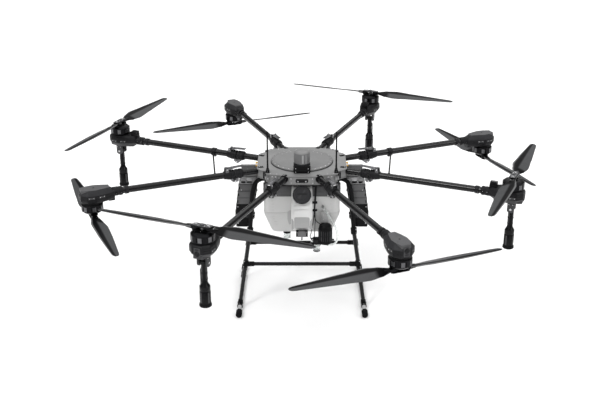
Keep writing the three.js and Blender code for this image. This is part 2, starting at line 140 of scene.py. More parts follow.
# ---- finishes -------------------------------------------------------------------------------------
class Shader:
    """A node material on one Principled shader."""

    def __init__(self, name, colour, roughness, metallic=0.0, **sockets):
        self.material = bpy.data.materials.new(name)
        self.material.use_nodes = True
        self.tree = self.material.node_tree
        self.bsdf = self.tree.nodes["Principled BSDF"]
        self.colour, self.roughness = colour, roughness
        self.set(base_color=(*colour, 1), roughness=roughness, metallic=metallic, **sockets)
        self.normal = None
        self.place = self.node("ShaderNodeTexCoord").outputs["Object"]

    def set(self, **sockets):
        for key, value in sockets.items():
            label = key.replace("_", " ").title().replace("Ior", "IOR")
            self.bsdf.inputs[label].default_value = value

    def node(self, kind, inputs=None, **values):
        """A node with its settings, and each input set to a value or linked to an output."""
        made = self.tree.nodes.new(kind)
        for key, value in values.items():
            setattr(made, key, value)
        for key, value in (inputs or {}).items():
            if isinstance(value, bpy.types.NodeSocket):
                self.link(value, made.inputs[key])
            elif value is not None:
                made.inputs[key].default_value = value
        return made

    def link(self, a, b):
        self.tree.links.new(a, b)

    def noise(self, scale, detail=3.0, stretch=(1, 1, 1), source=None):
        mapping = self.node("ShaderNodeMapping", {"Scale": stretch, "Vector": source or self.place})
        settings = {"Scale": scale, "Detail": detail, "Vector": mapping.outputs["Vector"]}
        return self.node("ShaderNodeTexNoise", settings).outputs["Fac"]

    def span(self, source, low, high, start=0.3, end=0.7):
        limits = {"Value": source, "From Min": start, "From Max": end, "To Min": low, "To Max": high}
        return self.node("ShaderNodeMapRange", limits).outputs["Result"]

    def mix(self, factor, a, b):
        a, b = ((*value, 1) if isinstance(value, tuple) else value for value in (a, b))
        return self.node("ShaderNodeMix", {"Factor": factor, 6: a, 7: b}, data_type="RGBA").outputs[2]

    def maths(self, operation, a, b=None):
        return self.node("ShaderNodeMath", {0: a, 1: b}, operation=operation).outputs["Value"]

    def bump(self, height, strength, distance):
        settings = {"Height": height, "Strength": strength, "Distance": distance, "Normal": self.normal}
        self.normal = self.node("ShaderNodeBump", settings).outputs["Normal"]
        self.link(self.normal, self.bsdf.inputs["Normal"])

    def split(self, source):
        """The three parts of a vector."""
        return self.node("ShaderNodeSeparateXYZ", {"Vector": source}).outputs

    def shade(self, factor, more=0.0):
        """The material's own colour, darker or lighter."""
        return tuple(min(1, c * factor + more) for c in self.colour)

    def mottle(self, amount, scale):
        """Colour that drifts a little over the surface."""
        return self.mix(self.span(self.noise(scale), 0, 1), self.shade(1 - amount), self.shade(1 + amount))

    def surface(self):
        """The part's own surface coordinates, whole and split into across and along."""
        whole = self.node("ShaderNodeUVMap").outputs["UV"]
        across, along = self.split(whole)[:2]
        return whole, across, along

    def worn(self, colour, edge, amount):
        """Lighter along the outer edges, where hands and tools rub."""
        pointy = self.node("ShaderNodeNewGeometry").outputs["Pointiness"]
        rub = self.maths("MULTIPLY", self.span(pointy, 0, amount, 0.53, 0.64), self.noise(55))
        return self.mix(rub, colour, edge)

    def paint(self, colour):
        self.link(colour, self.bsdf.inputs["Base Color"])
        return self.material

    def dull(self, vary, scale, stretch=(1, 1, 1)):
        low, high = self.roughness - vary, self.roughness + vary
        self.link(self.span(self.noise(scale, 4, stretch), low, high), self.bsdf.inputs["Roughness"])


def moulded(name, colour, roughness, **sockets):
    """Moulded plastic: spark-eroded grain, uneven gloss, edges rubbed lighter."""
    shader = Shader(name, colour, roughness, specular_ior_level=0.09, **sockets)
    shader.bump(shader.noise(900, 2), 0.35, 0.00012)
    shader.dull(0.07, 26)
    return shader.paint(shader.worn(shader.mottle(0.10, 9), shader.shade(1.9, 0.015), 0.7))


def painted(name, colour, roughness):
    """Sprayed metal: orange peel, fine flake and faint handling marks."""
    shader = Shader(name, colour, roughness, metallic=0.1, specular_ior_level=0.3, coat_weight=0.1,
                    coat_roughness=0.3)
    shader.bump(shader.noise(420, 2), 0.22, 0.00015)
    shader.dull(0.06, 14)
    flake = shader.span(shader.noise(2600, 1), 0, 0.35, 0.55, 0.75)
    body = shader.mix(flake, shader.mottle(0.05, 5), shader.shade(1.3))
    return shader.paint(shader.worn(body, shader.shade(1.6), 0.6))


def machined(name, colour, roughness, stretch=(1, 1, 14)):
    """Turned or milled metal with fine tool lines."""
    shader = Shader(name, colour, roughness, metallic=0.95)
    lines = shader.noise(260, 3, stretch)
    shader.bump(lines, 0.15, 0.0001)
    shader.dull(0.09, 180, stretch)
    return shader.paint(shader.worn(shader.mottle(0.12, 30), shader.shade(1.7, 0.02), 0.8))


def woven(name, colour, roughness):
    """Twill carbon cloth under clear resin, laid along the part's own surface coordinates."""
    tow = 0.0028
    shader = Shader(name, colour, roughness, specular_ior_level=0.15, coat_weight=0.24, coat_roughness=0.10)
    across, along = (shader.maths("DIVIDE", value, tow) for value in shader.surface()[1:])
    column, row = (shader.maths("FLOOR", value) for value in (across, along))
    step = shader.maths("FLOORED_MODULO", shader.maths("ADD", column, row), 4.0)
    warp = shader.maths("LESS_THAN", step, 2.0)
    crown_a, crown_b = (
        shader.maths("SINE", shader.maths("MULTIPLY", shader.maths("FRACT", value), math.pi))
        for value in (across, along)
    )
    height = shader.node("ShaderNodeMix", {0: warp, 2: crown_a, 3: crown_b}, data_type="FLOAT")
    shader.bump(height.outputs[0], 0.30, 0.00016)
    shader.dull(0.06, 20)
    cloth = shader.mix(warp, shader.shade(0.55), shader.shade(1.5))
    return shader.paint(shader.mix(shader.span(shader.noise(7), 0, 0.35), cloth, colour))


def rubbered(name, colour):
    shader = Shader(name, colour, 0.78, specular_ior_level=0.08)
    shader.bump(shader.noise(700, 4), 0.5, 0.0002)
    shader.dull(0.09, 30)
    dust = shader.span(shader.noise(18), 0, 0.5, 0.5, 0.8)
    return shader.paint(shader.mix(dust, colour, shader.shade(1, 0.02)))


def milky(name, colour, see_through, roughness):
    """Rotomoulded polyethylene: cloudy, soft, a little light through it, with painted shade darkening it
    towards the top, under the hub.
    """
    shader = Shader(name, colour, roughness, subsurface_weight=see_through, subsurface_scale=0.03,
                    subsurface_radius=(1, 1, 1), coat_weight=0.15, coat_roughness=0.2)
    shader.bump(shader.noise(160, 2), 0.18, 0.0004)
    shader.dull(0.05, 12)
    # Painted shade: the colour darkens towards the top, where the hub above shades the tank.
    fill = shader.span(shader.split(shader.place)["Z"], 0.0, 1.0, 0.48, 0.83)
    return shader.paint(shader.mix(fill, shader.mottle(0.04, 6), shader.shade(0.84)))


def clear(name, colour, roughness):
    shader = Shader(name, colour, roughness, transmission_weight=0.82, ior=1.36)
    shader.bump(shader.noise(90, 2), 0.1, 0.0004)
    shader.dull(0.03, 40)
    return shader.paint(shader.mottle(0.05, 20))


def blade_skin(name):
    """Pressed composite: brushed along the span, black at the root, black towards the front (partly a
    leading-edge film and partly painted shade), and a painted highlight along the edge.
    """
    dark, light = (0.050, 0.051, 0.053), (0.076, 0.077, 0.079)
    # Black for the root and the front band; pale grey for the painted highlight along the edge.
    black, edge_highlight = (0.003, 0.003, 0.0035), (0.13, 0.13, 0.132)
    shader = Shader(name, dark, 0.36, specular_ior_level=0.04, coat_weight=0.02, coat_roughness=0.12)
    surface, chordwise, outward = shader.surface()
    strands = shader.noise(90, 4, (6, 0.25, 1), surface)
    shader.bump(strands, 0.2, 0.0002)
    shader.dull(0.06, 16)
    body = shader.mix(shader.span(strands, 0, 1), dark, light)
    # Black band in from the front: partly a leading-edge film, partly painted shade.
    front = shader.span(chordwise, 0, 1, 0.01, 0.12)
    root = shader.span(outward, 1, 0, 0.125, 0.150)
    skin = shader.mix(shader.maths("MAXIMUM", front, root), body, black)
    # Painted highlight along the edge, laid over everything else.
    return shader.paint(shader.mix(shader.span(chordwise, 0, 1, 0.38, 0.44), skin, edge_highlight))


CARBON = woven("carbon_tube", (0.005, 0.005, 0.0055), 0.26)
CASING = moulded("casing_black", (0.013, 0.013, 0.014), 0.42)
CASING_LIGHT = moulded("casing_grey", (0.055, 0.055, 0.057), 0.42)
PANEL = moulded("casing_panel", (0.080, 0.080, 0.083), 0.46)
BLACK = moulded("plastic_black", (0.004, 0.004, 0.0045), 0.42)
DARK = moulded("plastic_dark", (0.026, 0.026, 0.028), 0.46)
# Dark collar round the tank's top, much darker than the tank as painted shade from the hub above.
COLLAR_AND_SHADE = moulded("tank_collar_and_shade", (0.085, 0.085, 0.087), 0.46)
MID = moulded("plastic_mid", (0.13, 0.13, 0.132), 0.40, coat_weight=0.35, coat_roughness=0.2)
SHELL = moulded("battery_shell", (0.11, 0.11, 0.112), 0.46)
SHELL_TOP = moulded("battery_top", (0.27, 0.27, 0.273), 0.46)
PALE = moulded("plastic_pale", (0.40, 0.40, 0.405), 0.46)
HUB = painted("hub_paint", (0.175, 0.175, 0.175), 0.46)
HUB_DARK = painted("hub_paint_dark", (0.15, 0.15, 0.15), 0.46)
ALLOY = machined("alloy_dark", (0.12, 0.12, 0.125), 0.36)
MOTOR = machined("motor_black", (0.008, 0.008, 0.009), 0.34)
MOTOR_FACE = machined("motor_face", (0.11, 0.11, 0.115), 0.38)
STEEL = machined("steel_bolt", (0.62, 0.62, 0.63), 0.28, (1, 1, 1))
BRASS = machined("brass", (0.80, 0.50, 0.17), 0.28)
RUBBER = rubbered("rubber", (0.006, 0.006, 0.007))
TANK = milky("tank_plastic", (0.52, 0.52, 0.515), 0.35, 0.36)
TANK_BRIGHT = milky("tank_nose_plastic", (0.72, 0.72, 0.715), 0.3, 0.3)
TANK_GREY = milky("tank_grey", (0.37, 0.37, 0.37), 0.1, 0.42)
CLEAR = clear("clear_plastic", (0.92, 0.95, 0.94), 0.10)
BLADE = blade_skin("blade_skin")
GLOSS = moulded("nozzle_plastic", (0.005, 0.005, 0.0055), 0.24, coat_weight=0.08, coat_roughness=0.12)


# ---- shapes ---------------------------------------------------------------------------------------
def shift(x=0.0, y=0.0, z=0.0):
    return Matrix.Translation((x, y, z))


def spun(share, axis="Z"):
    """Turned about an axis by a share of a whole turn."""
    return Matrix.Rotation(TURN * share, 4, axis)


def metres(matrix):
    """The same placement with its distance in metres."""
    made = matrix.copy()
    made.translation = matrix.translation * MM
    return made


def facing(point, direction):
    """Frame at a point whose Z looks along a direction."""
    return Matrix.Translation(point) @ Vector(direction).to_track_quat("Z", "Y").to_matrix().to_4x4()


def curve(points, per=6):
    """Smooth path through points."""
    knots = [Vector(p) for p in points]
    knots = [2 * knots[0] - knots[1], *knots, 2 * knots[-1] - knots[-2]]
    path = []
    for a, b, c, d in zip(knots, knots[1:], knots[2:], knots[3:]):
        for i in range(per):
            t = i / per
            path.append(0.5 * (2 * b + (c - a) * t + (2 * a - 5 * b + 4 * c - d) * t * t
                               + (3 * b - a - 3 * c + d) * t ** 3))
    return [*path, knots[-2]]


def rounded(outline, radius, steps=4):
    """Outline with every corner turned on a radius."""
    made = []
    count = len(outline)
    for i in range(count):
        before, corner, after = (Vector(outline[(i + k) % count]) for k in (-1, 0, 1))
        a, b = (before - corner), (after - corner)
        half = a.angle(b) / 2
        cut = min(radius / math.tan(half), 0.45 * a.length, 0.45 * b.length)
        start, end = corner + a.normalized() * cut, corner + b.normalized() * cut
        for k in range(steps + 1):
            t = k / steps
            made.append(tuple((1 - t) ** 2 * start + 2 * t * (1 - t) * corner + t * t * end))
    return made


def rectangle(half_x, half_y, centre=(0, 0)):
    x, y = centre
    return [(x - half_x, y - half_y), (x + half_x, y - half_y), (x + half_x, y + half_y),
            (x - half_x, y + half_y)]


def mirrored(points):
    """Outline closed by its mirror image across Y."""
    return [*points, *[(-x, y) for x, y in reversed(points)]]


def both_sides(points):
    """Outline closed by its mirror image across X."""
    return [*[(x, -y) for x, y in points], *reversed(points)]


class Form:
    """Parts in millimetres, each with its own finish, gathered into one mesh."""

    def __init__(self):
        self.parts = []

    def add(self, points, faces, finish, place=None, surface=None):
        own = [Vector(p) for p in points]
        surface = surface or [self.flat_surface([own[i] for i in face]) for face in faces]
        self.parts.append(([place @ p for p in own] if place else own, faces, finish, surface))

    def add_form(self, other, place):
        """Another form's parts, placed."""
        self.parts += [([place @ p for p in points], *rest) for points, *rest in other.parts]

    @staticmethod
    def flat_surface(corners):
        normal = Vector((0, 0, 0))
        for a, b in zip(corners, corners[1:] + corners[:1]):
            normal += a.cross(b)
        drop = max(range(3), key=lambda k: abs(normal[k]))
        u, v = [k for k in range(3) if k != drop]
        return [(p[u] * MM, p[v] * MM) for p in corners]

    def mesh(self, name, angle=SHARP_ANGLE):
        palette = list(dict.fromkeys(finish for _, _, finish, _ in self.parts))
        points, faces, finishes, corners = [], [], [], []
        for own, own_faces, finish, surface in self.parts:
            faces += [[len(points) + i for i in face] for face in own_faces]
            points += [p * MM for p in own]
            finishes += [palette.index(finish)] * len(own_faces)
            corners += [c for face in surface for uv in face for c in uv]
        mesh = bpy.data.meshes.new(name)
        mesh.from_pydata(points, [], faces)
        for finish in palette:
            mesh.materials.append(finish)
        mesh.polygons.foreach_set("material_index", finishes)
        mesh.uv_layers.new(name="surface").data.foreach_set("uv", corners)
        work = bmesh.new()
        work.from_mesh(mesh)
        bmesh.ops.recalc_face_normals(work, faces=work.faces)
        work.to_mesh(mesh)
        work.free()
        mesh.shade_smooth()
        mesh.set_sharp_from_angle(angle=math.radians(angle))
        return mesh

    def loft(self, rings, finish, place=None, ends=True):
        """Skin over rings with equal numbers of points."""
        count = len(rings[0])
        points = [p for ring in rings for p in ring]
        faces, surface = [], []
        run = [0.0]
        for low, high in zip(rings, rings[1:]):
            run.append(run[-1] + (Vector(high[0]) - Vector(low[0])).length)
        girth = [0.0]
        widest = max(rings, key=lambda ring: (Vector(ring[0]) - Vector(ring[count // 2])).length)
        for a, b in zip(widest, widest[1:] + widest[:1]):
            girth.append(girth[-1] + (Vector(b) - Vector(a)).length)
        for s in range(len(rings) - 1):
            for i in range(count):
                j = (i + 1) % count
                faces.append([s * count + i, s * count + j, (s + 1) * count + j, (s + 1) * count + i])
                surface.append([(girth[i] * MM, run[s] * MM), (girth[i + 1] * MM, run[s] * MM),
                                (girth[i + 1] * MM, run[s + 1] * MM), (girth[i] * MM, run[s + 1] * MM)])
        if ends:
            for first in (0, (len(rings) - 1) * count):
                cap = list(range(first, first + count))
                faces.append(cap)
                surface.append(self.flat_surface([Vector(points[i]) for i in cap]))
        self.add(points, faces, finish, place, surface)

    def turned(self, profile, finish, place=None, sides=48, ring=False):
        """Body of revolution about Z from [radius, height] points."""
        rings = []
        for radius, height in [*profile, *(profile[:1] if ring else [])]:
            reach = max(radius, 0.02)
            rings.append([(reach * math.cos(TURN * i / sides), reach * math.sin(TURN * i / sides), height)
                          for i in range(sides)])
        self.loft(rings, finish, place, ends=not ring)

    def drum(self, radius, low, high, finish, place=None, sides=48):
        """Plain cylinder about Z."""
        self.turned([(0, low), (radius, low), (radius, high), (0, high)], finish, place, sides)

    def hoop(self, inner, outer, low, high, finish, place=None, sides=48):
        """Plain ring about Z."""
        self.turned([(inner, low), (outer, low), (outer, high), (inner, high)], finish, place, sides,
                    ring=True)

    def slab(self, outline, low, high, finish, plane="xy", place=None):
        """Outline swept straight: up for xy, along Y for xz, along X for yz."""
        lift = {"xy": lambda p, level: (p[0], p[1], level), "xz": lambda p, level: (p[0], level, p[1]),
                "yz": lambda p, level: (level, p[0], p[1])}[plane]
        self.loft([[lift(p, level) for p in outline] for level in (low, high)], finish, place)

    def block(self, x, y, z, finish, place=None, round_off=0.0):
        """Box between two distances along each axis, in either order."""
        (x0, x1), (y0, y1), (z0, z1) = (sorted(span) for span in (x, y, z))
        outline = [(x0, y0), (x1, y0), (x1, y1), (x0, y1)]
        self.slab(rounded(outline, round_off) if round_off else outline, z0, z1, finish, place=place)

    def plate(self, half_x, half_y, corner, low, high, finish, plane="xy", place=None, centre=(0, 0)):
        """Rectangle with rounded corners, swept like a slab."""
        self.slab(rounded(rectangle(half_x, half_y, centre), corner), low, high, finish, plane, place)

    def ribs(self, count, x, y, z, finish, round_off=0.0, axis="Z", place=Matrix()):
        """The same block repeated round an axis."""
        for k in range(count):
            self.block(x, y, z, finish, place @ spun(k / count, axis), round_off)

    def tube(self, path, radius, finish, sides=20, place=None):
        """Round bar along a path; radius may be given for each point."""
        path = [Vector(p) for p in path]
        radii = radius if isinstance(radius, list) else [radius] * len(path)
        steps = [b - a for a, b in zip(path, path[1:])]
        ways = [steps[0], *[(a.normalized() + b.normalized()) for a, b in zip(steps, steps[1:])], steps[-1]]
        side = ways[0].orthogonal().normalized()
        rings = []
        for point, way, reach in zip(path, ways, radii):
            way = way.normalized()
            side = (side - way * side.dot(way)).normalized()
            other = way.cross(side)
            angles = [TURN * i / sides for i in range(sides)]
            rings.append([tuple(point + reach * (side * math.cos(a) + other * math.sin(a))) for a in angles])
        self.loft(rings, finish, place)

    def screw(self, point, direction, radius, height=None, finish=STEEL, place=None):
        """Cap screw with a socket, standing on a surface."""
        if place:
            point, direction = place @ Vector(point), place.to_3x3() @ Vector(direction)
        top = height or radius * 0.7
        profile = [(0, -0.5), (radius, -0.5), (radius, top * 0.75), (radius * 0.82, top),
                   (radius * 0.5, top), (radius * 0.45, top * 0.35), (0, top * 0.35)]
        self.turned(profile, finish, facing(point, direction), sides=16)

    def screw_circle(self, count, reach, z, radius, height, start=0.0, place=None):
        """Upright screws evenly round Z."""
        for k in range(count):
            angle = TURN * (k + start) / count
            point = (reach * math.cos(angle), reach * math.sin(angle), z)
            self.screw(point, (0, 0, 1), radius, height, place=place)


def show(mesh, name, body, place=Matrix(), replaces=(), bevel=0.7):
    """One piece, its mesh laid where it stands in the assembly."""
    placed = mesh.copy()
    placed.transform(place)
    piece = bpy.data.objects.new(name, placed)
    bpy.context.scene.collection.objects.link(piece)
    if bevel:
        soften = piece.modifiers.new("soft_edges", "BEVEL")
        soften.width = bevel * MM
        soften.segments = 2
        soften.limit_method = "ANGLE"
        soften.angle_limit = math.radians(SHARP_ANGLE)
        soften.harden_normals = True
    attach(piece, body)
    if replaces:
        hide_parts(*replaces)


def show_fixed(form, name, slot, *nodes, place=Matrix(), bevel=0.7):
    """One piece of the airframe, standing for the nodes named."""
    show(form.mesh(f"{name}_looks"), f"{name}_looks", "airframe", place, nodes, bevel)


# ---- arms: tube, fold clamp, toggle lever, brace, motor mount -------------------------------------
def arm_frame(number):
    angle = math.radians(22.5 + (number - 1) * 360 / ARM_COUNT - 90)
    return Matrix.Rotation(angle, 4, "Z") @ shift(z=ARM_Z)


def clamp_band(form, x0, x1, radius, finish, lug_turn):
    """Split band round the tube with a bolted lug, turned by a share of a turn from the top."""
    bore = TUBE_R - 2
    band = [(bore, x0), (radius - 1, x0), (radius, x0 + 1.5), (radius, x1 - 1.5), (radius - 1, x1),
            (bore, x1)]
    form.turned(band, finish, spun(0.25, "Y"), sides=40, ring=True)
    spin = spun(lug_turn, "X")
    middle, half = (x0 + x1) / 2, (x1 - x0) / 2
    form.block((x0 + 1, x1 - 1), (-6, 6), (radius - 4, radius + 5), finish, spin, 1.5)
    for x in (middle - half * 0.5, middle + half * 0.5):
        form.screw((x, -6, radius + 0.5), (0, -1, 0), 2.8, place=spin)


def add_fold(form):
    """Outer half of the fold joint: conical collar, hinge knuckle, latch ears and their pin."""
    collar = [(0, 443.2), (27, 443.2), (COLLAR_R, 446), (COLLAR_R, 453), (27.4, 455), (27.4, 458),
              (COLLAR_R, 460), (COLLAR_R, 480), (26.5, 492), (24, 506.5), (0, 506.5)]
    form.turned(collar, CASING, spun(0.25, "Y"))
    form.ribs(12, (462, 478), (-2.6, 2.6), (26, COLLAR_R + 0.4), BLACK, axis="X")
    leaf = [(447, -22), (440, -31.2), (432.5, -35.5), (431.2, -40), (432.5, -44.5), (440, -48.8), (450, -47),
            (462, -38.5), (462, -22)]
    form.slab(leaf, -10.3, 10.3, ALLOY, "xz")
    ear = [(LATCH_X - 11, 20), (LATCH_X + 11, 20), (LATCH_X + 8, LATCH_Z + 5.5), (LATCH_X - 8, LATCH_Z + 5.5)]
    for y0 in (-18.8, 13.2):
        form.slab(rounded(ear, 3), y0, y0 + 5.6, ALLOY, "xz")
    for side in (-1, 1):
        form.screw((LATCH_X, side * 18.5, LATCH_Z), (0, side, 0), 4.2, 2.2)
    form.tube([(LATCH_X, -15, LATCH_Z), (LATCH_X, 15, LATCH_Z)], 2.9, STEEL)


def add_housing(form, inverted):
    """Motor mount and speed controller in the motor's frame, motor side up."""
    plan = both_sides([(-130, 31), (-85, 50), (-20, 66), (35, 62), (68, 30)])

    def level(scale, z, inset=0.0):
        ring = rounded([(-20 + (x + 20) * scale, y * scale) for x, y in plan], 5, 3)
        middle = Vector((-15, 0))
        return [((Vector(p) - middle) * (1 - inset / 80) + middle).to_tuple() + (z,) for p in ring]

    form.loft([level(0.66, -38.8), level(0.70, -37), level(0.99, -13), level(1.0, -10)],
              DARK if inverted else CASING_LIGHT)
    form.loft([level(0.985, -10, 0.6), level(0.985, -7.5, 0.6)], BLACK)
    form.loft([level(1.0, -7.5), level(1.0, 8)], CASING)
    form.loft([level(0.985, 8, 0.6), level(0.985, 10, 0.6)], BLACK)
    form.loft([level(1.0, 10), level(0.995, 22), level(0.93, 31), level(0.86, 35.5)], CASING)
    plate = rounded(both_sides([(-104, 20), (-64, 33), (-20, 44), (22, 40), (61, 26)]), 4, 3)
    form.slab(plate, -39.6, -15, PANEL if inverted else CASING_LIGHT)
    form.drum(5, -40.4, -39, BLACK, shift(-14), sides=20)
    for x, y in ((-84, 14), (-84, -14), (12, 26), (12, -26)):
        form.screw((x, y, -39.2), (0, 0, -1), 2.4, 1.2, ALLOY)
    for side in (-1, 1):
        for x0, x1, y, tilt in ((-70, -32, 57.2, 14), (-8, 30, 63.6, -4)):
            place = shift((x0 + x1) / 2, side * y) @ Matrix.Rotation(math.radians(side * tilt), 4, "Z")
            form.block((-(x1 - x0) / 2, (x1 - x0) / 2), (-1.6, 1.6), (-6, 7), CASING_LIGHT, place, 1.2)
            for x in (-12, 12):
                form.screw(place @ Vector((x, side * 1.4, 0)), (0, side, 0), 2.2, 1.2)
    form.plate(18, 24, 5, 58, 68.2, CASING_LIGHT, "yz", centre=(0, -1))
    form.turned([(0, 0), (15, 0), (15, 1.2), (13.5, 2.0), (0, 2.0)], CASING, facing((67.6, 0, -9), (1, 0, 0)),
                sides=40)
    form.plate(10, 5, 2, 67, 69.2, DARK, "yz", centre=(0, 14))
    base_top = 38 + (LOW_ROTOR_DROP if inverted else 0)
    form.turned([(0, 30), (56, 30), (56, base_top - 2.5), (53, base_top - 0.3), (0, base_top - 0.3)], BLACK)
    form.screw_circle(10, 50.5, base_top - 1.4, 2.3, 1.2, start=0.5)
    form.turned([(0, -178), (24, -178), (26.6, -175), (26.6, -161), (25.2, -159), (25.2, -155), (26.6, -153),
                 (26.6, -122), (0, -120)], CASING, spun(0.25, "Y"))
    for x in (-168, -140):
        for side in (-1, 1):
            form.block((x - 5, x + 5), (-3.4, 3.4), (24, 29.5), BLACK, spun(side / 4, "X"), 1)
            form.screw((x, side * 27, 2.8), (0, 0, 1), 2.3, 1.6)
    if inverted:
        form.block((-131, -94), (-20, 20), (12, 46.5), CASING_LIGHT, round_off=6)
        form.block((-127, -98), (-21, 21), (16, 42), DARK, round_off=3)
    else:
        add_fins(form)
        add_clevis(form)


def add_fins(form):
    """Cooling fins of the speed controller at the inner end of the mount."""
    form.block((-133, -91), (-21.5, 21.5), (12, 46), BLACK, round_off=2)
    for k in range(8):
        x = -131 + k * 5.4
        form.block((x, x + 2.2), (-21.5, 21.5), (40, 63.6), CASING, round_off=0.6)
    form.block((-133.5, -90.5), (-2, 2), (40, 60), BLACK)
    for side in (-1, 1):
        form.screw((-112, side * 21.4, 28), (0, side, 0), 2.8, 1.5)


def add_clevis(form):
    """Fork and pin that the spray nozzle hangs on."""
    cheek = [(-20, -30), (-20, -92), (-10, -102), (10, -102), (20, -92), (20, -30)]
    for y0, y1 in ((-30.3, -20.2), (20.2, 30.3)):
        form.slab(rounded(cheek, 7), y0, y1, CASING_LIGHT, "xz")
    for side in (-1, 1):
        form.screw((0, side * 30, NOZZLE_PIVOT_Z), (0, side, 0), 6.5, 2.4)
        for x in (-11, 11):
            form.screw((x, side * 30, -52), (0, side, 0), 2.4, 1.2)
    form.tube([(0, -25, NOZZLE_PIVOT_Z), (0, 25, NOZZLE_PIVOT_Z)], 4.9, STEEL)


def add_brace(form, side):
    """Strut to the next side arm, on a band clamp."""
    clamp_band(form, 591.5, 618.5, 25.6, CASING, 0.5)
    start, end = Vector((605, side * 20, 0)), Vector((410, side * 372, 0))
    way = (end - start).normalized()
    form.tube([start, end - way * 14], 5.2, CARBON)
    form.tube([start, start + way * 20], 8.5, BLACK)
    form.tube([end - way * 26, end - way * 5, end], [7.0, 7.6, 5.5], BLACK)


def arm_mesh(inverted, brace_side=0):
    form = Form()
    form.tube([(450, 0, 0), (MOTOR_X - 60, 0, 0)], TUBE_R, CARBON, sides=40)
    add_fold(form)
    clamp_band(form, 1085, 1107, 23.5, CASING, 0.25)
    mount = Form()
    add_housing(mount, inverted)
    place = shift(MOTOR_X) @ (spun(0.5, "X") if inverted else Matrix())
    form.add_form(mount, place)
    if brace_side:
        add_brace(form, brace_side)
    return form.mesh(f"arm_{'low' if inverted else 'high'}_{brace_side}")


def latch_mesh():
    """Toggle lever: a flat thumb plate on two links round the pin."""
    form = Form()
    tip = LATCH_X - LATCH_REACH
    side = [(LATCH_X + 5.4, LATCH_Z - 2), (LATCH_X + 5.4, LATCH_Z + 3), (LATCH_X + 2, LATCH_Z + 5.8),
            (LATCH_X - 60, LATCH_Z + 9), (tip, LATCH_Z + 9.8), (tip, LATCH_Z + 5.5),
            (LATCH_X - 50, LATCH_Z + 2.5), (LATCH_X - 20, LATCH_Z - 4.5), (LATCH_X + 1, LATCH_Z - 5.6)]
    for y0 in (-11.8, 7.8):
        form.slab(side, y0, y0 + 4, ALLOY, "xz")
    top = [(LATCH_X - 8, LATCH_Z + 2.5), (LATCH_X - 8, LATCH_Z + 6.2), (LATCH_X - 60, LATCH_Z + 9),
           (tip + 1, LATCH_Z + 9.9), (tip + 1, LATCH_Z + 6.4), (LATCH_X - 60, LATCH_Z + 4.5)]
    form.slab(top, -9, 9, MOTOR_FACE, "xz")
    for k in range(6):
        x = tip + 5 + k * 5
        form.block((x, x + 2), (-9.5, 9.5), (LATCH_Z + 8.6, LATCH_Z + 10.6), ALLOY, round_off=0.6)
    for x in (LATCH_X - 22, LATCH_X - 40):
        form.screw((x, 0, LATCH_Z + 7), (0, 0, 1), 2.6, 1.4)
    return form.mesh("latch")


# ---- rotor and blades -----------------------------------------------------------------------------
def rotor_mesh():
    """Motor bell with the folding clamp plates, plates along X."""
    form = Form()
    form.turned([(0, 39), (57, 39), (60, 41.5), (61.2, 44), (0, 44)], BLACK, sides=64)
    form.drum(59.6, 44, 80, BLACK, sides=64)
    for z0, z1 in ((44, 49), (75.5, 81)):
        form.drum(62.3, z0, z1, MOTOR, sides=64)
    for k in range(14):
        spin = spun(k / 14)
        finish = MOTOR_FACE if k % 2 else MOTOR
        form.block((56, 61.9), (-10.2, 10.2), (48.5, 76), finish, spin, 1.2)
    form.turned([(0, 81), (61, 81), (52, 90), (24, 94.4), (0, 94.6)], MOTOR, sides=64)
    for k in range(12):
        spin = spun(k / 12)
        form.slab([(30, -4), (50, -7.5), (50, 7.5), (30, 4)], 88.2, 91.2, BLACK, place=spin)
    form.screw_circle(6, 21, 94, 2.6, 1.6, start=0.5)
    side = [(-54, -14), (-44, -22), (44, -22), (54, -14)]
    outline = rounded([*side, *[(-x, -y) for x, y in side]], 5)
    waist = rounded([(-53, -12), (-30, -17), (30, -17), (53, -12), (53, 12), (30, 17), (-30, 17), (-53, 12)],
                    4)
    form.slab(outline, 94.2, ROOT_LOW - 0.1, MOTOR)
    form.slab(outline, ROOT_HIGH + 0.1, ROOT_HIGH + 4, MOTOR)
    form.slab(waist, ROOT_HIGH + 4, ROOT_HIGH + 5.9, MOTOR_FACE)
    form.turned([(0, 92), (10.8, 92), (10.8, 125), (8.6, 128.6), (0, 128.6)], ALLOY)
    for side in (-1, 1):
        form.drum(4.9, ROOT_LOW - 3, ROOT_HIGH + 2, STEEL, shift(side * BLADE_PIVOT), sides=24)
        form.screw((side * BLADE_PIVOT, 0, ROOT_HIGH + 5.4), (0, 0, 1), 7.2, 4.2)
        for y in (-11, 11):
            form.screw((side * 18, y, ROOT_HIGH + 5.4), (0, 0, 1), 3.1, 2.6)
            form.screw((side * 45, y * 0.6, ROOT_HIGH + 5.4), (0, 0, 1), 2.6, 2.0)
    return form.mesh("rotor")


def station(distance):
    """Chord, twist and thickness of the blade at a distance, eased at its widest part."""
    for low, high in zip(STATIONS, STATIONS[1:]):
        if distance <= high[0]:
            t = (distance - low[0]) / (high[0] - low[0])
            t = t * t * (3 - 2 * t) if high[0] in (185, 340) else t
            return [a + (b - a) * t for a, b in zip(low, high)][1:]


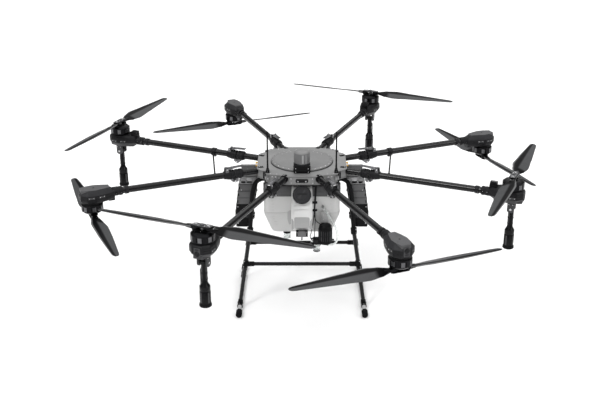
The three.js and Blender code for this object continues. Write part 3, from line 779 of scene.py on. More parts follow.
def blade_mesh(pitch):
    """Blade along X: pressed clamp eye, shank and a twisted aerofoil with a rounded tip."""
    form = Form()
    middle = (ROOT_LOW + ROOT_HIGH) / 2
    rings, surface = [], []
    for distance in BLADE_RINGS:
        chord, twist, thickness = station(distance)
        cos, sin = (f(math.radians(twist) * pitch) for f in (math.cos, math.sin))
        rings.append([(distance, u * chord * cos - v * thickness * pitch * sin,
                       middle + u * chord * sin + v * thickness * pitch * cos) for u, v in AEROFOIL])
    count = len(AEROFOIL)
    points = [p for ring in rings for p in ring]
    faces = []
    for s in range(len(rings) - 1):
        for i in range(count):
            j = (i + 1) % count
            faces.append([s * count + i, s * count + j, (s + 1) * count + j, (s + 1) * count + i])
            u0, u1 = AEROFOIL[i][0], AEROFOIL[j][0]
            d0, d1 = BLADE_RINGS[s] * MM, BLADE_RINGS[s + 1] * MM
            surface.append([(u0, d0), (u1, d0), (u1, d1), (u0, d1)])
    for end in (0, len(rings) - 1):
        faces.append(list(range(end * count, (end + 1) * count)))
        surface.append([(u, BLADE_RINGS[end] * MM) for u, v in AEROFOIL])
    form.add(points, faces, BLADE, surface=surface)
    low, high = ROOT_LOW + 0.5, ROOT_HIGH - 0.5
    eye = [(5.9, low), (18.6, low), (18.9, low + 1), (18.9, high - 1), (18.6, high), (5.9, high)]
    form.turned(eye, MOTOR, shift(BLADE_PIVOT), ring=True)
    shank = [(40, -16), (60, -15), (76, -12), (90, -9), (90, 9), (76, 12), (60, 15), (40, 16)]
    form.slab(shank, low + 1.2, high - 1.2, MOTOR)
    for y in (7, -7):
        form.screw((66, y, high - 1.6), (0, 0, 1), 2.6, 1.4)
    return form.mesh(f"blade_{pitch}", angle=50)


# ---- spray nozzle ---------------------------------------------------------------------------------
def nozzle_mesh():
    form = Form()
    neck = [(0, -70.5), (13.5, -70.5), (16.4, -73.5), (16.4, -98), (15.4, -100), (15.4, -186), (16.6, -188),
            (16.6, -196), (19, -201), (27.4, -216), (0, -216)]
    barrel = [(0, -216), (27.9, -216), (28.3, -219), (28.3, -239), (27.3, -240.5), (27.3, -242.5),
              (28.3, -244), (28.3, -308), (29, -312), (0, -312)]
    foot = [(0, -312), (29.5, -312), (32.6, -319.5), (32.8, -330), (31, -332), (24, -333), (19.5, -337.6),
            (0, -337.6)]
    for profile, finish in ((neck, GLOSS), (barrel, GLOSS), (foot, BLACK)):
        form.turned(profile, finish)
    form.ribs(24, (28, 32.9), (-1.2, 1.2), (-330, -321), CASING)
    # Ribs on the barrel and the stem, every other one lighter grey as painted highlight stripes.
    for k in range(8):
        spin, finish = spun((k + 0.5) / 8), CASING_LIGHT if k % 2 else BLACK
        form.block((26, 28.9), (-4.6, 4.6), (-308, -248), finish, spin, 1.0)
        form.block((13, 16.1), (-2.4, 2.4), (-184, -104), finish, spin, 0.6)
    for side in (-1, 1):
        form.turned([(0, 0), (9, 0), (9, 2.4), (7, 3), (0, 3)], CASING_LIGHT,
                    facing((0, side * 15.2, NOZZLE_PIVOT_Z), (0, side, 0)), sides=32)
    hose = [(0, -14, -120), (0, -20, -126), (0, -21, -150), (0, -21, -190), (0, -21.5, -205), (0, -23, -216)]
    form.tube(curve(hose, 5), 3.2, BLACK, sides=12)
    for z in (-140, -176):
        form.hoop(15, 17.4, z - 3, z + 3, BLACK)
    return form.mesh("nozzle")


def build_arms():
    arms = {key: arm_mesh(*key) for key in ((False, 0), (True, 0), (True, -1), (False, 1))}
    latch, rotor, nozzle = latch_mesh(), rotor_mesh(), nozzle_mesh()
    blades = {1: blade_mesh(1), -1: blade_mesh(-1)}
    for number in range(1, ARM_COUNT + 1):
        inverted = number % 2 == 1
        brace = {3: -1, 6: 1}.get(number, 0)
        base = metres(arm_frame(number))
        arm = f"arm_{number}"
        show(arms[(inverted, brace)], f"{arm}_looks", arm, base, [arm])
        show(latch, f"latch_{number}_looks", f"latch_{number}", base, [f"latch_{number}"])
        motor = base @ metres(shift(MOTOR_X))
        spin = motor @ metres(shift(z=-LOW_ROTOR_DROP)) @ spun(0.5, "X") if inverted else motor
        turned = spin @ spun(0.25)
        show(rotor, f"rotor_{number}_looks", f"rotor_{number}", turned, [f"rotor_{number}"])
        for side in (1, -1):
            letter = "a" if (side > 0) != inverted else "b"
            node = f"blade_{number}{letter}"
            way = spin @ spun(side / 4)
            show(blades[-1 if inverted else 1], f"{node}_looks", node, way, [node],
                 bevel=0.4)
        if not inverted:
            node = f"nozzle_{number}"
            show(nozzle, f"{node}_looks", node, motor, [node], bevel=0.5)


# ---- hub ------------------------------------------------------------------------------------------
def hub_outline(inset=0.0):
    corner = [(272, 60), (272, 128), (254, 152), (218, 176), (218, 208), (200, 226), (132, 240), (96, 262)]
    back = mirrored([(x - inset, y - inset) for x, y in corner])
    return rounded([*back, *[(-x, -y) for x, y in back]], 10, 3)


def hub_stub(form, angle):
    """Inner half of an arm: short tube, ringed collar, hinge ears and the fold pin."""
    place = Matrix.Rotation(angle, 4, "Z") @ shift(z=ARM_Z)
    along = place @ spun(0.25, "Y")
    form.drum(TUBE_R, 200, 428, CARBON, along, sides=40)
    form.turned([(0, 388), (24, 388.3), (COLLAR_R - 2, 396), (COLLAR_R, 399), (COLLAR_R, 412), (27.3, 414),
                 (27.3, 417), (COLLAR_R, 419), (COLLAR_R, 434), (27, 436.6), (0, 436.6)], CASING, along)
    form.turned([(0, 255), (23.5, 255), (24.5, 258), (24.5, 284), (23, 287), (0, 287)], BLACK, along)
    for x in (264, 278):
        form.screw((x, 0, 24), (0, 0, 1), 2.8, place=place)
    leaf = [(433, -22), (440, -31.3), (447.5, -35.5), (448.6, -40), (447.5, -44.5), (440, -48.6), (430, -47),
            (418, -38.5), (418, -22)]
    for y0 in (-18.9, 11.2):
        form.slab(leaf, y0, y0 + 7.6, ALLOY, "xz", place)
    form.tube([(HINGE_X, -15, HINGE_Z), (HINGE_X, 15, HINGE_Z)], 3.9, STEEL, place=place)
    for side in (-1, 1):
        form.screw((HINGE_X, side * 18.7, HINGE_Z), (0, side, 0), 5.4, 1.6, place=place)


def build_hub_frame():
    form = Form()
    form.slab(hub_outline(4), HUB_LOW + 4, HUB_HIGH - 5, HUB)
    form.slab(hub_outline(), HUB_HIGH - 5.5, HUB_HIGH - 0.1, HUB)
    form.slab(hub_outline(1.5), HUB_LOW, HUB_LOW + 5, HUB_DARK)
    form.hoop(176, 192.2, HUB_HIGH - 2, HUB_HIGH + 0.9, BLACK, sides=96)
    for k in range(ARM_COUNT):
        hub_stub(form, math.radians(22.5 + k * 360 / ARM_COUNT))
    for x in (-1, 1):
        for y0, y1 in ((-88, -62), (62, 88)):
            form.block((x * 150, x * 380), (y0, y1), (839.7, 852), HUB_DARK, round_off=4)
            for k in range(3):
                form.screw((x * (200 + 75 * k), (y0 + y1) / 2, 840), (0, 0, -1), 3.4)
        form.block((x * 150, x * 376), (-70, 70), (845, 851), CASING_LIGHT, round_off=6)
        for y in (-165, 165):
            form.block((x * 165 - 13.8, x * 165 + 13.8), (y - 13.8, y + 13.8), (820.5, 852), BLACK,
                       round_off=4)
            form.screw((x * 165, y + math.copysign(13.5, y), 836), (0, math.copysign(1, y), 0), 4)
        add_hub_side(form, x)
    add_front_panel(form, -1)
    add_front_panel(form, 1)
    for x, y in ((236, 96), (204, 192), (150, 222), (112, 246), (258, 118), (188, 214)):
        for sx, sy in ((1, 1), (-1, 1), (1, -1), (-1, -1)):
            form.screw((sx * x, sy * y, HUB_HIGH), (0, 0, 1), 3.2, 1.6)
    show_fixed(form, "hub_frame", "hub_grey", "hub_frame")


def add_hub_side(form, x):
    """Power connector and fixing plates on one side of the hub."""
    out = facing((x * 268, 0, ARM_Z), (x, 0, 0))
    form.block((x * 262, x * 270), (-26, 26), (866, 902), HUB_DARK, round_off=3)
    for y in (-10, 10):
        form.turned([(0, 0), (7.5, 0), (7.5, 5), (5.6, 6), (5.6, 12), (7.2, 13), (7.2, 18), (0, 18)], BRASS,
                    out @ shift(y=y), sides=28)
    for y in (-1, 1):
        form.block((x * 216, x * 233), (y * 177, y * 203), (868, 905.5), BLACK, round_off=3)
        form.block((x * 221, x * 226), (y * 176, y * 204), (872, 903), CASING_LIGHT, round_off=1)
        face = facing((x * 208, y * 217.6, 876), (x, y, 0))
        form.plate(13, 17, 3, 0, 2.4, HUB_DARK, place=face @ spun(0.25))
        for dz in (-10, 10):
            form.screw((dz, 0, 2), (0, 0, 1), 3.0, place=face)
        slant = facing((x * 166, y * 232.6, 876), (x * 14, y * 68, 0))
        form.plate(17, 26, 4, -2.4, 1.2, HUB_DARK, place=slant)
        for dx in (-11, 11):
            for dy in (16, -16):
                form.screw((dx, dy, 1), (0, 0, 1), 3.2, place=slant)


def add_front_panel(form, end):
    """Panel with a dark slot and two lamps between the arm tubes."""
    face = facing((0, end * PANEL_Y, PANEL_Z), (0, end, 0))
    if end > 0:
        face = face @ spun(0.5)
    form.plate(74, 22, 5, -4, 0.0, HUB_DARK, place=face)
    form.plate(72, 20, 4, -1, 0.5, HUB, place=face)
    form.plate(38, 13, 12, 0, 0.9, BLACK, place=face)
    form.plate(31, 9.5, 9, 0.5, 1.3, CASING_LIGHT, place=face)
    form.plate(28, 6.6, 6.5, 1.0, 1.7, BLACK, place=face)
    for x in (-23, 23):
        form.turned([(0, 0), (3.8, 0), (3.8, 2.0), (2.4, 3.0), (0, 3.0)], PALE, face @ shift(x, -4), sides=24)
    form.turned([(0, 0), (5, 0), (5, 2.0), (0, 2.4)], BLACK, face @ shift(0, -1), sides=24)
    for x in (-64, 64):
        for dy in (-13, 13):
            form.screw(face @ Vector((x, dy, 0.3)), (0, end, 0), 2.6, 1.6)


def lid_ring(radius, z):
    """Circle with a square notch for the radar at the front."""
    notch, depth, steps = 52.0, -119.0, 90
    open_angle = math.asin(notch / radius)
    angles = [open_angle - TURN / 4 + (TURN - 2 * open_angle) * k / steps for k in range(steps + 1)]
    ring = [(radius * math.cos(a), radius * math.sin(a), z) for a in angles]
    return [*ring, (-notch, depth, z), (notch, depth, z)]


def build_lid():
    form = Form()
    low = HUB_HIGH + 0.4
    rim = [(LID_R - 2, 0), (LID_R - 0.4, 1.6), (LID_R, 3), (LID_R, 7.2), (LID_R - 1.6, 8.8), (176, 13.6),
           (173, 14.1)]
    groove = [(171.5, 13.4), (171.5, 14.5)]
    crown = [(170, 13.6), (168.5, 14.9), (128, 15.6), (124, 15.8)]
    for profile, finish in ((rim, HUB), (groove, HUB_DARK), (crown, HUB)):
        form.loft([lid_ring(radius, low + z) for radius, z in profile], finish)
    for k in range(28):
        angle = TURN * k / 28 - TURN / 4
        if abs(LID_R * math.cos(angle)) < 56 and math.sin(angle) < 0:
            continue
        x, y = math.cos(angle), math.sin(angle)
        form.screw((182.5 * x, 182.5 * y, low + 10.6), (0.4 * x, 0.4 * y, 1), 3.0, 1.8)
    for angle in (math.radians(degrees) for degrees in (35, 50, 62, 75, 105, 118, 130, 145)):
        form.screw((150 * math.cos(angle), 150 * math.sin(angle), low + 15.1), (0, 0, 1), 2.8, 1.0)
    show_fixed(form, "hub_lid", "hub_grey", "hub_lid")


def build_radar():
    form = Form()
    base = rounded([(-46, -44), (46, -44), (50, -30), (50, 36), (34, 49.5), (-34, 49.5), (-50, 36),
                    (-50, -30)], 5)
    form.slab(base, HUB_HIGH + 0.5, 921, BLACK)
    for scale, low, high, finish in ((0.97, 921, 923.5, CASING_LIGHT), (1, 923.5, 948, BLACK),
                                     (0.92, 948, 953.6, CASING)):
        form.slab([(x * scale, y * scale) for x, y in base], low, high, finish)
    form.turned([(0, 948), (41.5, 948), (43, 952), (45.5, 956), (46.2, 960), (0, 960)], DARK, sides=64)
    form.drum(45.4, 960, 962, BLACK, sides=64)
    form.turned([(0, 962), (46.4, 962), (48.0, 975), (48.8, 1000), (48.6, 1016), (47.0, 1025), (0, 1025)],
                MID, sides=64)
    form.turned([(0, 1025), (46.4, 1025), (44, 1030), (38, 1033.6), (24, 1035.4), (0, 1035.8)], HUB, sides=64)
    # Two lighter vertical strips on the front of the drum: painted highlights.
    for angle, half in ((-84, 5.5), (-60, 2.2)):
        form.block((44, 48.9), (-half, half), (968, 1020), SHELL_TOP,
                   Matrix.Rotation(math.radians(angle), 4, "Z"), 1)
    for side in (-1, 1):
        for z in (914, 936):
            form.screw((side * 38, -44.0, z), (0, -1, 0), 3.0, 1.6)
        for y in (-12, 20):
            form.screw((side * 50, y, 930), (side, 0, 0), 2.8, 1.4)
    show_fixed(form, "radar", "dark_plastic", "radar_unit", place=metres(shift(y=RADAR_Y)))


def build_antenna(side, name):
    form = Form()
    x, y = side * ANTENNA_X, ANTENNA_Y
    form.block((x - 11.6, x + 11.6), (y - 14.8, y + 14.8), (HUB_HIGH + 0.5, 914), BLACK, round_off=3)
    form.block((x - 9, x + 9), (y - 11, y + 11), (914, 925), CASING, round_off=3)
    for dy in (-12, 12):
        form.screw((x, y + dy, 913.6), (0, 0, 1), 2.2, 1.4)
    form.turned([(0, 920), (7, 920), (7, 930), (5.6, 932), (5.6, 944), (5.4, 948), (4.9, 960), (4.5, 1130),
                 (4.8, 1137), (5.2, 1141), (5.2, 1156), (4.0, ANTENNA_TOP - 0.2), (0, ANTENNA_TOP)], RUBBER,
                shift(x, y), sides=24)
    form.drum(6.6, 925, 931, BRASS, shift(x, y), sides=6)
    show_fixed(form, name, "black_rubber", name, bevel=0.4)


# ---- tank and what hangs on it --------------------------------------------------------------------
def tank_half(z):
    """Half the tank's width and depth at a height: it widens from its floor to the widest level."""
    share = min(1, (z - 500) / 125)
    return 184.6 + 46 * share, 164.6 + 30 * share


def tank_ring(z, inset):
    x, y = tank_half(z)
    return [(x, y, z) for x, y in rounded(rectangle(x - inset, y - inset), 40, 6)]


def nose_ring(z, front, half):
    back = -150.0
    outline = [(-half, -front), (half, -front), (half, back), (-half, back)]
    return [(x, y, z) for x, y in rounded(outline, 20, 5)]


NECK = facing(NECK_CENTRE, (0, -math.cos(NECK_TILT), math.sin(NECK_TILT)))


def build_tank():
    form = Form()
    shell = [(500, 12), (501.5, 6), (505, 2), (512, 0), (560, 0), (610, 0), (622, 0), (632, 0), (648, 0),
             (749, 0.4)]
    seam = [(637.5, -0.2), (638.5, -1.4), (641.5, -1.4), (642.5, -0.2)]
    gap = [(748, 3), (756, 3)]
    # Top band: a dark collar round the tank's top, its darkness partly painted shade under the hub.
    top = [(752, -0.3), (753, -1.6), (778, -1.6), (780, 0), (800, 0), (814, 3), (819, 9)]
    for rings, finish in ((shell, TANK), (seam, TANK), (gap, BLACK), (top, COLLAR_AND_SHADE)):
        form.loft([tank_ring(z, inset) for z, inset in rings], finish)
    nose = [(546, 247, 52), (556, 254, 57), (566, 262.5, 60), (600, 287.5, 63.4), (612, 289.6, 64.6),
            (640, 289.8, 64.8), (700, 289.8, 64.8), (728, 289.6, 64.8), (740, 284, 64.2), (775, 253, 63),
            (812, 223, 62), (819, 216, 58)]
    form.loft([nose_ring(z, front, half) for z, front, half in nose], TANK_BRIGHT)
    neck = [(40.5, -8), (47.6, -8), (47.6, 4), (46.5, 5), (46.5, 7), (47.6, 8), (47.6, 12.6), (40.5, 12.6)]
    form.turned(neck, TANK_BRIGHT, NECK, sides=64, ring=True)
    add_nose_panels(form)
    for x in (-1, 1):
        form.block((x * 170, x * 200), (-203, -192), (742, 772), CASING_LIGHT, round_off=3)
        form.screw((x * 185, -202.6, 750), (0, -1, 0), 4)
        for y in (-100, 100):
            form.block((x * 229, x * 236), (y - 12, y + 12), (746, 800), BLACK, round_off=2)
            form.screw((x * 235.6, y, 762), (x, 0, 0), 3.6)
    add_level_marks(form)
    show_fixed(form, "tank", "tank_plastic", "tank", bevel=0.5)
    drain = Form()
    place = shift(DRAIN_X, DRAIN_Y)
    drain.hoop(17, 22.6, 455, 489, CLEAR, place)
    drain.drum(10, 478, 489, CLEAR, place)
    drain.turned([(0, 453.5), (19, 453.5), (20, 455), (20, 459), (0, 459)], CLEAR, place)
    drain.turned([(0, 489), (22.8, 489), (22.8, 498), (21, 499.6), (0, 499.6)], BLACK, place)
    drain.ribs(8, (21, 23), (-2, 2), (490, 497), CASING, place=place)
    show_fixed(drain, "drain", "clear_hose", bevel=0.4)


def add_nose_panels(form):
    """Recess panels round the sensor and the moulded rim on the front of the nose."""
    centre = rounded([(-46, 583), (46, 583), (46, 646), (40, 653), (-40, 653), (-46, 646)], 5)
    form.slab(centre, -290.6, -284, TANK_GREY, "xz")
    for side in (-1, 1):
        flank = [(side * 49, 578), (side * 62, 572), (side * 62, 646), (side * 49, 628)]
        form.slab(rounded(flank, 3), -289.2, -280, TANK_GREY, "xz")
        wing = [(side * 66, 570), (side * 78, 562), (side * 88, 600), (side * 88, 648), (side * 66, 664)]
        form.slab(rounded(wing, 5), -196.4, -190, TANK_GREY, "xz")
        rim = [(side * 56, -290.0, 664), (side * 56, -290.3, 700), (side * 50, -290.3, 722),
               (side * 40, -290.0, 727), (0, -290.0, 728)]
        form.tube(curve(rim, 5), 1.6, TANK_BRIGHT, sides=8)
    form.plate(44, 3, 2.5, -290.9, -286, TANK_BRIGHT, "xz", centre=(0, 701))


def add_level_marks(form):
    """Moulded filling marks up the front face."""
    for k in range(9):
        z = 560 + 20 * k
        x, y = tank_half(z)
        x -= 46
        reach = 16 if k % 2 else 9
        for side in (-1, 1):
            form.block((side * x, side * (x - reach)), (-y - 0.5, -y + 2), (z - 0.7, z + 0.7), TANK_GREY)


def build_cap():
    form = Form()
    form.drum(36, 3.2, 14, BLACK)
    form.turned([(0, 13.6), (53, 13.6), (54.6, 15), (54.6, 29), (53, 32.5), (49, 34.6), (40, 35.4), (38, 34),
                 (0, 34)], DARK, sides=64)
    form.turned([(0, 34), (35, 34), (33, 35.7), (0, 35.9)], DARK, sides=64)
    form.ribs(36, (52, 55.8), (-2.0, 2.0), (15.5, 31), DARK, 0.8)
    form.plate(30, 5.5, 4, 34, 36.0, CASING)
    form.drum(56, 13.4, 15.8, CASING_LIGHT, sides=64)
    place, node = metres(NECK), "filler_cap"
    show(form.mesh(f"{node}_looks"), f"{node}_looks", node, place, [node])


def build_sensor():
    form = Form()
    form.plate(35.8, 18.8, 4, -286, -262.5, BLACK, "xz", centre=(0, SENSOR_Z))
    form.plate(33, 16, 3, -287.2, -285, BLACK, "xz", centre=(0, SENSOR_Z))
    outline = [(-24, 526), (24, 526), (28, 552), (16, 566), (-16, 566), (-28, 552)]
    for scale, y0, y1, finish in ((1.0, -294, -285, PANEL), (0.96, -297, -293, MID),
                                  (0.9, -299.6, -296, MID)):
        face = rounded([(x * scale, 546 + (z - 546) * scale) for x, z in outline], 3)
        form.slab(face, y0, y1, finish, "xz")
    for x in (-30, 30):
        for z in (528, 554):
            form.screw((x, -286.6, z), (0, -1, 0), 2.4, 1.4)
    form.turned([(0, 500.4), (4.6, 501), (4.6, 507), (3, 509), (3, 525), (0, 525)], BLACK, shift(y=SENSOR_Y),
                sides=24)
    form.hoop(3.2, 4.8, 511, 514, ALLOY, shift(y=SENSOR_Y), sides=24)
    show_fixed(form, "terrain_sensor", "dark_plastic", "terrain_sensor")


def build_pump():
    form = Form()
    place = shift(PUMP_X, PUMP_Y)
    form.turned([(0, 467), (39, 467), (41, 470), (41, 482), (0, 482)], BLACK, place, sides=64)
    form.turned([(0, 482), (39.6, 482), (39.6, 570), (37.6, 579), (31, 586.4), (0, 586.6)], BLACK, place,
                sides=64)
    # Dark fins, with every fifth one lighter grey as a painted highlight stripe.
    for k in range(20):
        spin = place @ spun(k / 20)
        form.block((38, 42.7), (-2.6, 2.6), (484, 558), CASING_LIGHT if k % 5 == 3 else DARK, spin, 1)
        form.slab([(38, 558), (42.7, 558), (36.5, 571), (33, 571)], -2.0, 2.0, BLACK, "xz", spin)
    for z in (484, 520, 555):
        form.hoop(38, 42.9, z, z + 4, BLACK, place, sides=64)
    form.turned([(0, 586), (14, 586), (12, 586.9), (0, 586.9)], BLACK, place)
    form.screw_circle(5, 25, 583, 3.0, 2.0, place=place)
    form.block((118.4, 165.6), (-211.8, -195.6), (560, 652), TANK, round_off=2)
    form.block((124, 160), (-214.5, -208), (566, 646), TANK_GREY, round_off=2)
    for z in (576, 606, 636):
        for dx in (-12, 12):
            form.screw((PUMP_X + dx, -214.2, z), (0, -1, 0), 3.0, 1.8)
    form.block((120, 164), (-216, -200), (560, 570), BLACK, round_off=2)
    form.block((67, 120), (-258, -228), (457, 498), BLACK, round_off=4)
    form.block((70, 100), (-259.5, -226.5), (468, 488), CASING, round_off=3)
    fitting = [(0, -1), (6.5, -1), (6.5, 4), (4.6, 5), (4.6, 9), (5.6, 10), (4.4, 15), (0, 15)]
    for z, finish in ((463, BLACK), (478, CLEAR), (492, BLACK)):
        form.turned(fitting, finish, facing((69, -250 + (z - 478) * 0.6, z), (-1, -0.2, 0)), sides=24)
    barb = [(0, -6), (7, -6), (7, 0), (4.6, 1), (4.6, 4), (6, 5), (4.6, 10), (6, 11), (4.6, 16), (0, 16)]
    for z in (468, 486):
        form.turned(barb, BLACK, facing((180, -244, z), (1, 0, 0)), sides=24)
    show_fixed(form, "pump", "black_rubber", "pump", bevel=0.5)
    bowl = Form()
    place = shift(STRAINER_X, PUMP_Y)
    bowl.turned([(15.5, 414), (21.6, 414), (21.9, 418), (21.9, 447), (15.5, 447)], CLEAR, place, ring=True)
    bowl.turned([(0, 447), (23.6, 447.5), (23.8, 450), (23.8, 458), (22, 461.5), (0, 461.5)], CLEAR, place,
                sides=48)
    bowl.turned([(0, 409), (17, 409), (21.8, 411.5), (21.8, 418.5), (0, 418.5)], BLACK, place)
    bowl.drum(9.5, 418, 447, STEEL, place)
    bowl.ribs(12, (21, 23.7), (-1.4, 1.4), (449, 459), CLEAR, 0.5, place=place)
    show_fixed(bowl, "strainer", "clear_hose", bevel=0.3)


def build_hose():
    """Clear delivery hose from the tank's back wall round the pump to the manifold, with its clips."""
    form = Form()
    route = [(127, -196, 684), (128, -206, 683), (140, -216, 668), (172, -226, 618), (202, -232, 566),
             (216, -238, 520), (214, -243, 482), (198, -244, 459), (170, -244, 453), (122, -243, 456)]
    path = curve(route, 7)
    form.tube(path, 6.3, CLEAR, sides=16)
    clip = [(5.8, -4), (7.6, -4), (7.9, 0), (7.6, 4), (5.8, 4)]
    for k in (4, len(path) - 6):
        form.turned(clip, ALLOY, facing(path[k], path[k + 1] - path[k]), sides=24, ring=True)
    show_fixed(form, "hose", "clear_hose", "hose", bevel=0)


def build_leads():
    """Three wiring leads clipped along the tank's nose, from the hub down to the pump and its fittings."""
    form = Form()
    to_pump = [(80, -236, 856), (80, -246, 838), (77, -262, 800), (75, -268, 742), (74, -270, 690),
               (76, -268, 650), (90, -258, 612), (112, -250, 592), (126, -246, 580)]
    to_sensor = [(88, -238, 856), (88, -248, 838), (84, -266, 790), (80, -272, 730), (76, -274, 690),
                 (70, -276, 640), (62, -276, 590), (56, -272, 545), (50, -268, 520), (58, -256, 492),
                 (70, -246, 480)]
    to_manifold = [(84, -236, 856), (84, -244, 840), (80, -258, 800), (78, -264, 742), (78, -266, 690),
                   (80, -264, 630), (78, -258, 560), (76, -250, 520), (78, -244, 494)]
    for route in (to_pump, to_sensor, to_manifold):
        form.tube(curve(route, 6), 2.3, BLACK, sides=12)
    for z, y in ((838, (-252, -240)), (742, (-280, -262)), (692, (-280, -262))):
        form.block((63, 92), y, (z - 4, z + 4), BLACK, round_off=4)
    form.block((74, 94), (-250, -232), (846, 856), CASING, round_off=3)
    show_fixed(form, "leads", "black_rubber", bevel=0.3)


# ---- batteries ------------------------------------------------------------------------------------
def battery_sides(z):
    """Inner and outer distance of the battery's case from the middle of the drone at a height."""
    inner = [(838, 262), (585, 300), (500, 332)]
    outer = [(838, 376), (826, 384), (585, 415), (500, 412)]
    found = []
    for table in (inner, outer):
        for (z1, x1), (z0, x0) in zip(table, table[1:]):
            if z0 <= z <= z1:
                found.append(x0 + (x1 - x0) * (z - z0) / (z1 - z0))
                break
    return found


def battery_ring(z, inset):
    inner, outer = battery_sides(z)
    middle, half = (inner + outer) / 2, (outer - inner) / 2
    return [(x + middle, y, z) for x, y in rounded(rectangle(half - inset, BATTERY_HALF_Y - inset), 9, 4)]


def battery_mesh():
    form = Form()
    layers = [(836, 812, 3.0, SHELL_TOP), (812, 791, 1.0, SHELL_TOP), (788.5, 745, 1.4, SHELL),
              (742.5, 700, 0.6, SHELL), (698, 657, 1.2, SHELL), (655, 608, 0.6, BLACK),
              (606, 560, 1.6, BLACK), (558, 520, 0.8, BLACK), (518, 503, 4, BLACK)]
    core = (834, 820, 800, 760, 720, 660, 600, 586, 560, 520, 505)
    form.loft([battery_ring(z, 3.4) for z in core], BLACK)
    for top, bottom, inset, finish in layers:
        stops = [top, top - 2.2, *([585.5] if bottom < 585 < top - 3 else []), bottom + 2.2, bottom]
        insets = [inset + 1.8, *[inset] * (len(stops) - 2), inset + 1.8]
        form.loft([battery_ring(z, grow) for z, grow in zip(stops, insets)], finish)
    for y in (-66, -22, 22, 66):
        form.block((275, 366), (y - 17, y + 17), (834.5, 837.8), PALE if abs(y) > 30 else SHELL_TOP,
                   round_off=3)
    add_battery_front(form)
    return form.mesh("battery")


def add_battery_front(form):
    """Pale tiles, clips, label patch and screws on both end faces and the outer face."""
    for end in (-1, 1):
        tiles = (((272, 298), (794, 826), PALE), ((303, 338), (797, 830), PALE),
                 ((344, 372), (796, 826), SHELL_TOP))
        for x, z, finish in tiles:
            form.block(x, (end * 94.6, end * 90), z, finish, round_off=1.5)
        form.block((318, 388), (end * 95.6, end * 90), (566, 604), DARK, round_off=3)
        for z in (764, 720, 676):
            outer = battery_sides(z)[1]
            for x in ((282, 290), (outer - 12, outer - 4)):
                form.block(x, (end * 96, end * 91), (z - 9, z + 9), BLACK, round_off=2)
        for x, z in ((310, 640), (396, 640), (330, 530), (396, 530), (296, 752), (372, 752)):
            form.screw((x, end * 95.2, z), (0, end, 0), 3, 1.2)
    for z in (772, 728, 684, 640, 596, 548):
        outer = battery_sides(z)[1]
        for y in (-60, 60):
            form.block((outer - 6, outer + 0.4), (y - 14, y + 14), (z - 6, z + 6),
                       BLACK if z < 660 else CASING, round_off=2)
    for k in range(9):
        z = 690 - k * 6
        outer = battery_sides(z)[1]
        form.block((outer - 4, outer - 0.2), (-38, 38), (z - 1.4, z + 1.4), BLACK)


def build_batteries():
    mesh = battery_mesh()
    for side, name in ((-1, "battery_left"), (1, "battery_right")):
        show(mesh, f"{name}_looks", name, spun(0.25 - side / 4), [name])


# ---- landing gear ---------------------------------------------------------------------------------
def add_leg(form, end):
    """Bent upper tube, straight lower tube, and the joints and boots on them."""
    bend = [(152, 835), (205, 835), (248, 833), (279, 812), (298, 762), (308, 692), (315, 590),
            (KNEE_X, KNEE_Z)]
    form.tube(curve([(x, KNEE_Y * end, z) for x, z in bend], 7), 13.2, BLACK, sides=28)
    knee, foot = Vector((KNEE_X, KNEE_Y * end, KNEE_Z)), Vector((SKID_X, FOOT_Y * end, SKID_Z))
    way = (foot - knee).normalized()
    form.tube([knee, foot], 12.2, CARBON, sides=32)
    collar = facing(knee + Vector((-1, 0, 18)), (4, 4 * end, -42))
    form.turned([(0, 0), (17.5, 0), (19.6, 2), (19.6, 18), (18.2, 19.5), (18.2, 22.5), (19.6, 24), (19.6, 40),
                 (17, 42.4), (0, 42.4)], BLACK, collar, sides=40)
    for dz in (9, 33):
        for share in (0.25, 0.75):
            form.screw((19.2, 0, dz), (1, 0, 0), 3.2, 2, place=collar @ spun(share))
    share = (knee.z - CROSSBAR_Z) / (knee.z - foot.z)
    socket_x = knee.x + (foot.x - knee.x) * share
    out = facing((327.6, CROSSBAR_Y * end, CROSSBAR_Z), (1, 0, 0))
    length = socket_x - 327 + 11
    form.turned([(0, 0), (14.6, 0), (16.4, 2), (16.4, 16), (14.8, 18), (14.8, length - 3), (13, length),
                 (0, length)], BLACK, out, sides=40)
    sleeve = facing(Vector((socket_x, CROSSBAR_Y * end, CROSSBAR_Z)) - way * 24, way)
    form.turned([(0, 0), (14.4, 0), (16.2, 2), (16.2, 46), (14.4, 48), (0, 48)], BLACK, sleeve, sides=40)
    for dz in (6, 42):
        form.screw((15.6, 0, dz), (1, 0, 0), 3, 2, place=sleeve @ spun(0.25))
    joint = facing((SKID_X, (FOOT_Y - 28) * end, SKID_Z), (0, end, 0))
    form.turned([(0, 0), (16, 0), (17.6, 2), (17.6, 14), (16.4, 16), (16.4, 40), (17.6, 42), (17.6, 54),
                 (16, 56), (0, 56)], BLACK, joint, sides=40)
    boot = facing(foot - way * 34, way)
    form.turned([(0, 0), (14, 0), (15.6, 3), (16.4, 26), (0, 34)], BLACK, boot, sides=40)
    for dz in (8, 48):
        form.screw((0, 16.8, dz), (0, 1, 0), 2.8, 1.2, place=joint)


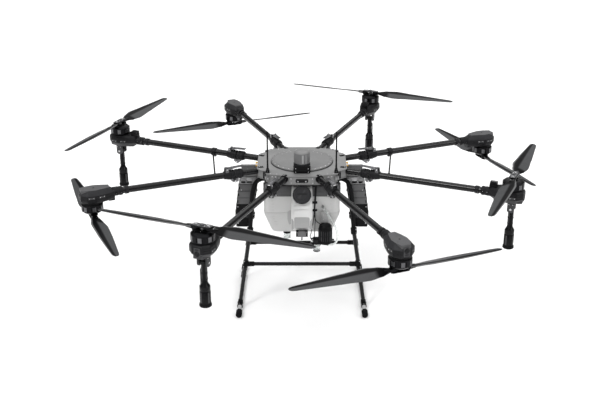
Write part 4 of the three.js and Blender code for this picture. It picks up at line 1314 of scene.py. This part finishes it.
def gear_mesh():
    form = Form()
    for end in (-1, 1):
        add_leg(form, end)
        stub = facing((SKID_X, end * 232, SKID_Z), (0, end, 0))
        form.drum(12.9, 0, 66, PALE, stub, sides=32)
        cap = facing((SKID_X, end * (SKID_HALF - 55), SKID_Z), (0, end, 0))
        form.turned([(0, 0), (17.6, 0), (19.2, 2), (19.2, 10), (18.2, 11), (18.2, 13), (19.2, 14), (19.2, 50),
                     (17.6, 54), (12, 55), (0, 55)], RUBBER, cap, sides=40)
    form.tube([(SKID_X, -236, SKID_Z), (SKID_X, 236, SKID_Z)], 12.2, CARBON, sides=32)
    return form.mesh("landing_gear")


def build_landing_gear():
    mesh = gear_mesh()
    for side, name in ((-1, "landing_gear_left"), (1, "landing_gear_right")):
        show(mesh, f"{name}_looks", "airframe", spun(0.25 - side / 4), [name], bevel=0.5)
    for end, name in ((-1, "crossbar_front"), (1, "crossbar_rear")):
        form = Form()
        form.tube([(-322, 0, 0), (322, 0, 0)], 11.7, CARBON, sides=32)
        for side in (-1, 1):
            way = facing((side * 326.8, 0, 0), (-side, 0, 0))
            form.turned([(0, 0), (14.4, 0), (15.7, 1.4), (15.7, 24), (14.4, 26), (13.4, 29.6), (0, 29.6)],
                        BLACK, way, sides=40)
            form.screw((side * 312, 0, 15.4), (0, 0, 1), 2.8, 1.6)
        place = metres(shift(0, end * CROSSBAR_Y, CROSSBAR_Z))
        show_fixed(form, name, "arm_carbon", name, place=place, bevel=0.5)


def build_floor():
    mesh = bpy.data.meshes.new("floor")
    mesh.from_pydata([(x, y, -FLOOR_DROP) for x, y in rectangle(FLOOR_HALF, FLOOR_HALF)], [], [(0, 1, 2, 3)])
    shader = Shader("floor_paper", (0.93, 0.93, 0.93), 0.9)
    mesh.materials.append(shader.paint(shader.mottle(0.01, 0.6)))
    floor = bpy.data.objects.new("floor", mesh)
    bpy.context.scene.collection.objects.link(floor)


build_arms()
build_hub_frame()
build_lid()
build_radar()
build_antenna(-1, "antenna_left")
build_antenna(1, "antenna_right")
build_tank()
build_cap()
build_sensor()
build_pump()
build_hose()
build_leads()
build_batteries()
build_landing_gear()
build_floor()
